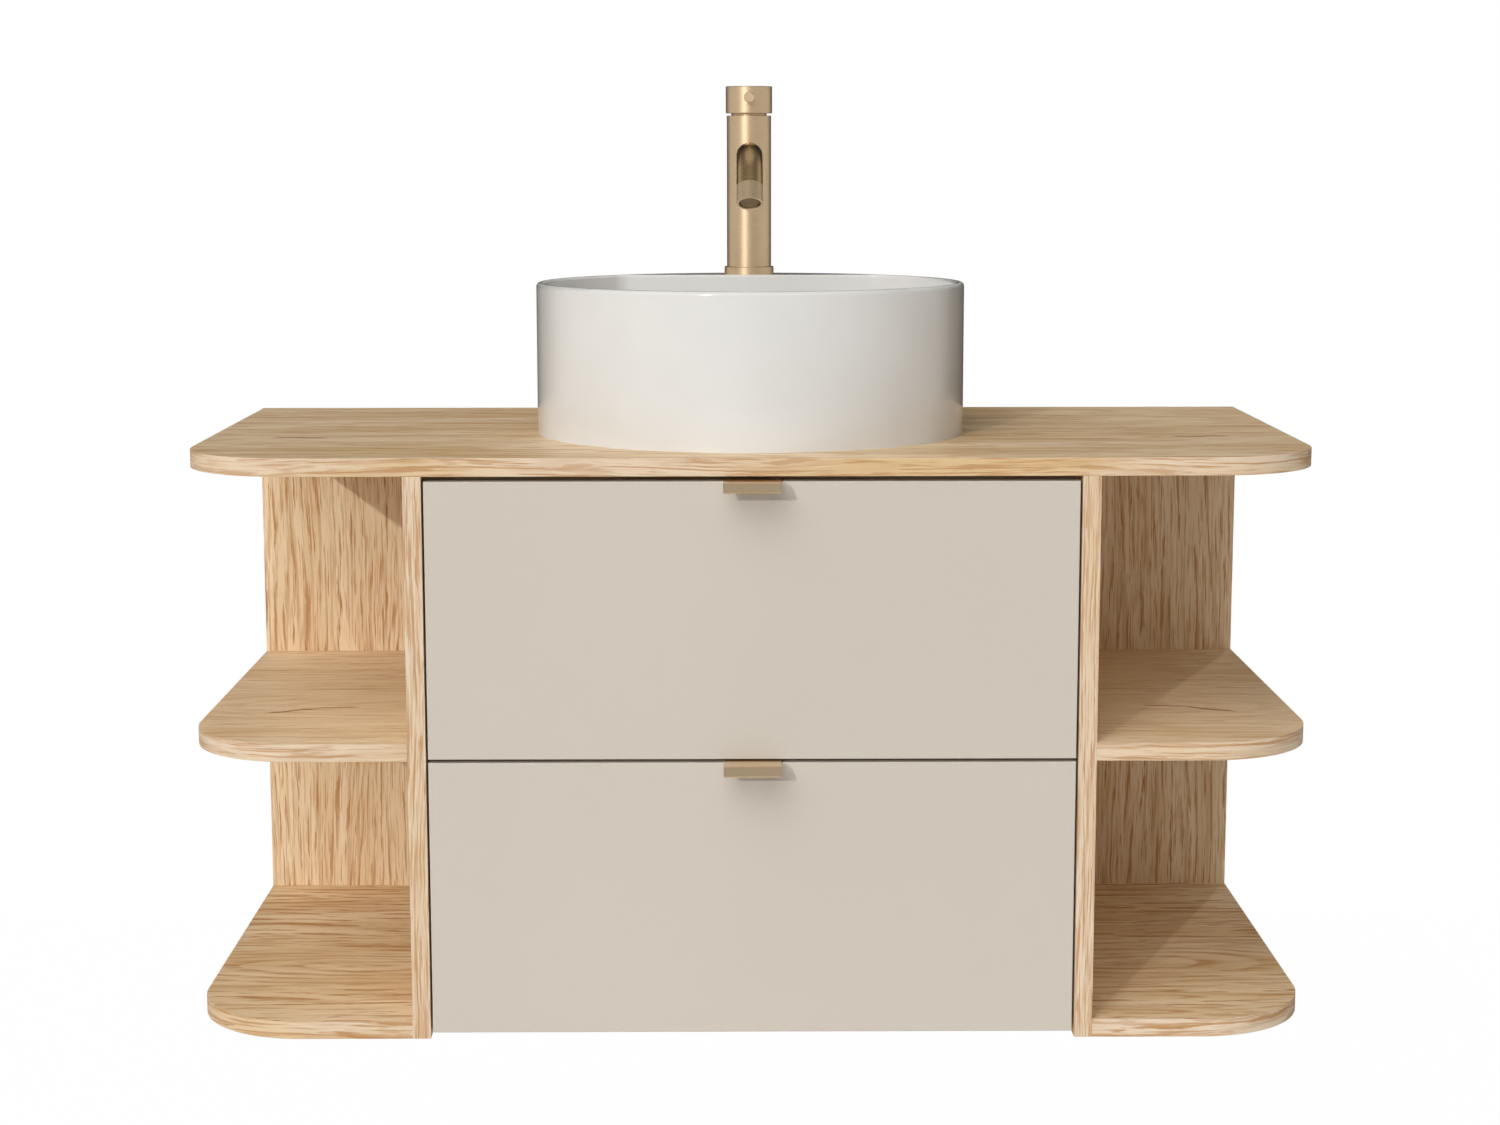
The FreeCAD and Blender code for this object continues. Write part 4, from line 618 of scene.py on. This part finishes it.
facing = sky.add("ShaderNodeVectorMath", operation="DOT_PRODUCT")
sky.fill(facing.inputs, (direction, Vector(SOFT_LIGHT).normalized()))
lobe = sky.calc("POWER", sky.largest(facing.outputs["Value"], 0.0), SOFT_FOCUS)
soft = sky.times(lobe, SOFT_POWER)
glow = sky.plus(soft, sky.span(depth, *ROOM_TURNS, ROOM, ROOM_BEHIND, kind="LINEAR"))
hue = sky.blend(sky.calc("DIVIDE", soft, glow), ROOM_TINT, SOFT_TINT)

mirrored = sky.plus(sky.span(height, *HORIZON_TO_SCREEN, MIRROR_HORIZON, MIRROR_SCREEN),
                    sky.span(height, *SCREEN_TO_CEILING, 0.0, MIRROR_CEILING))
mirrored = sky.times(mirrored, sky.span(depth, *MIRROR_TURNS, 1.0, MIRROR_BEHIND))

ray = sky.add("ShaderNodeLightPath").outputs
lit = sky.between(ray["Is Glossy Ray"], glow, mirrored)
background = sky.tree.nodes["Background"]
sky.put(background.inputs["Color"], sky.blend(ray["Is Camera Ray"], hue, WHITE))
sky.put(background.inputs["Strength"], sky.between(ray["Is Camera Ray"], lit, 1.0))

# ---------------------------------------------------------------- sun and camera

SUN_SLOPE = (0.437, 1.0, -0.328)
SUN_POWER, SUN_WIDTH, SUN_TINT = 0.9, math.radians(0.8), (1.0, 0.985, 0.96)

sun_data = bpy.data.lights.new("key", "SUN")
sun_data.energy = SUN_POWER
sun_data.angle = SUN_WIDTH
sun_data.color = SUN_TINT
sun = bpy.data.objects.new("key", sun_data)
sun.rotation_euler = Vector(SUN_SLOPE).to_track_quat("-Z", "Y").to_euler()
bpy.context.scene.collection.objects.link(sun)

CAMERA_PLACE = (-0.0166, -2.795, 0.7733)
CAMERA_PITCH, CAMERA_YAW, CAMERA_ROLL = 8.51, 0.37, 0.05
CAMERA_LENS, CAMERA_SENSOR = 65.2, 36.0

camera_data = bpy.data.cameras.new("camera")
camera_data.lens = CAMERA_LENS
camera_data.sensor_width = CAMERA_SENSOR
camera = bpy.data.objects.new("camera", camera_data)
camera.location = CAMERA_PLACE
camera.rotation_euler = (math.radians(90 - CAMERA_PITCH), math.radians(CAMERA_ROLL),
                         math.radians(-CAMERA_YAW))
bpy.context.scene.collection.objects.link(camera)
bpy.context.scene.camera = camera
bpy.context.scene.view_settings.view_transform = "Standard"
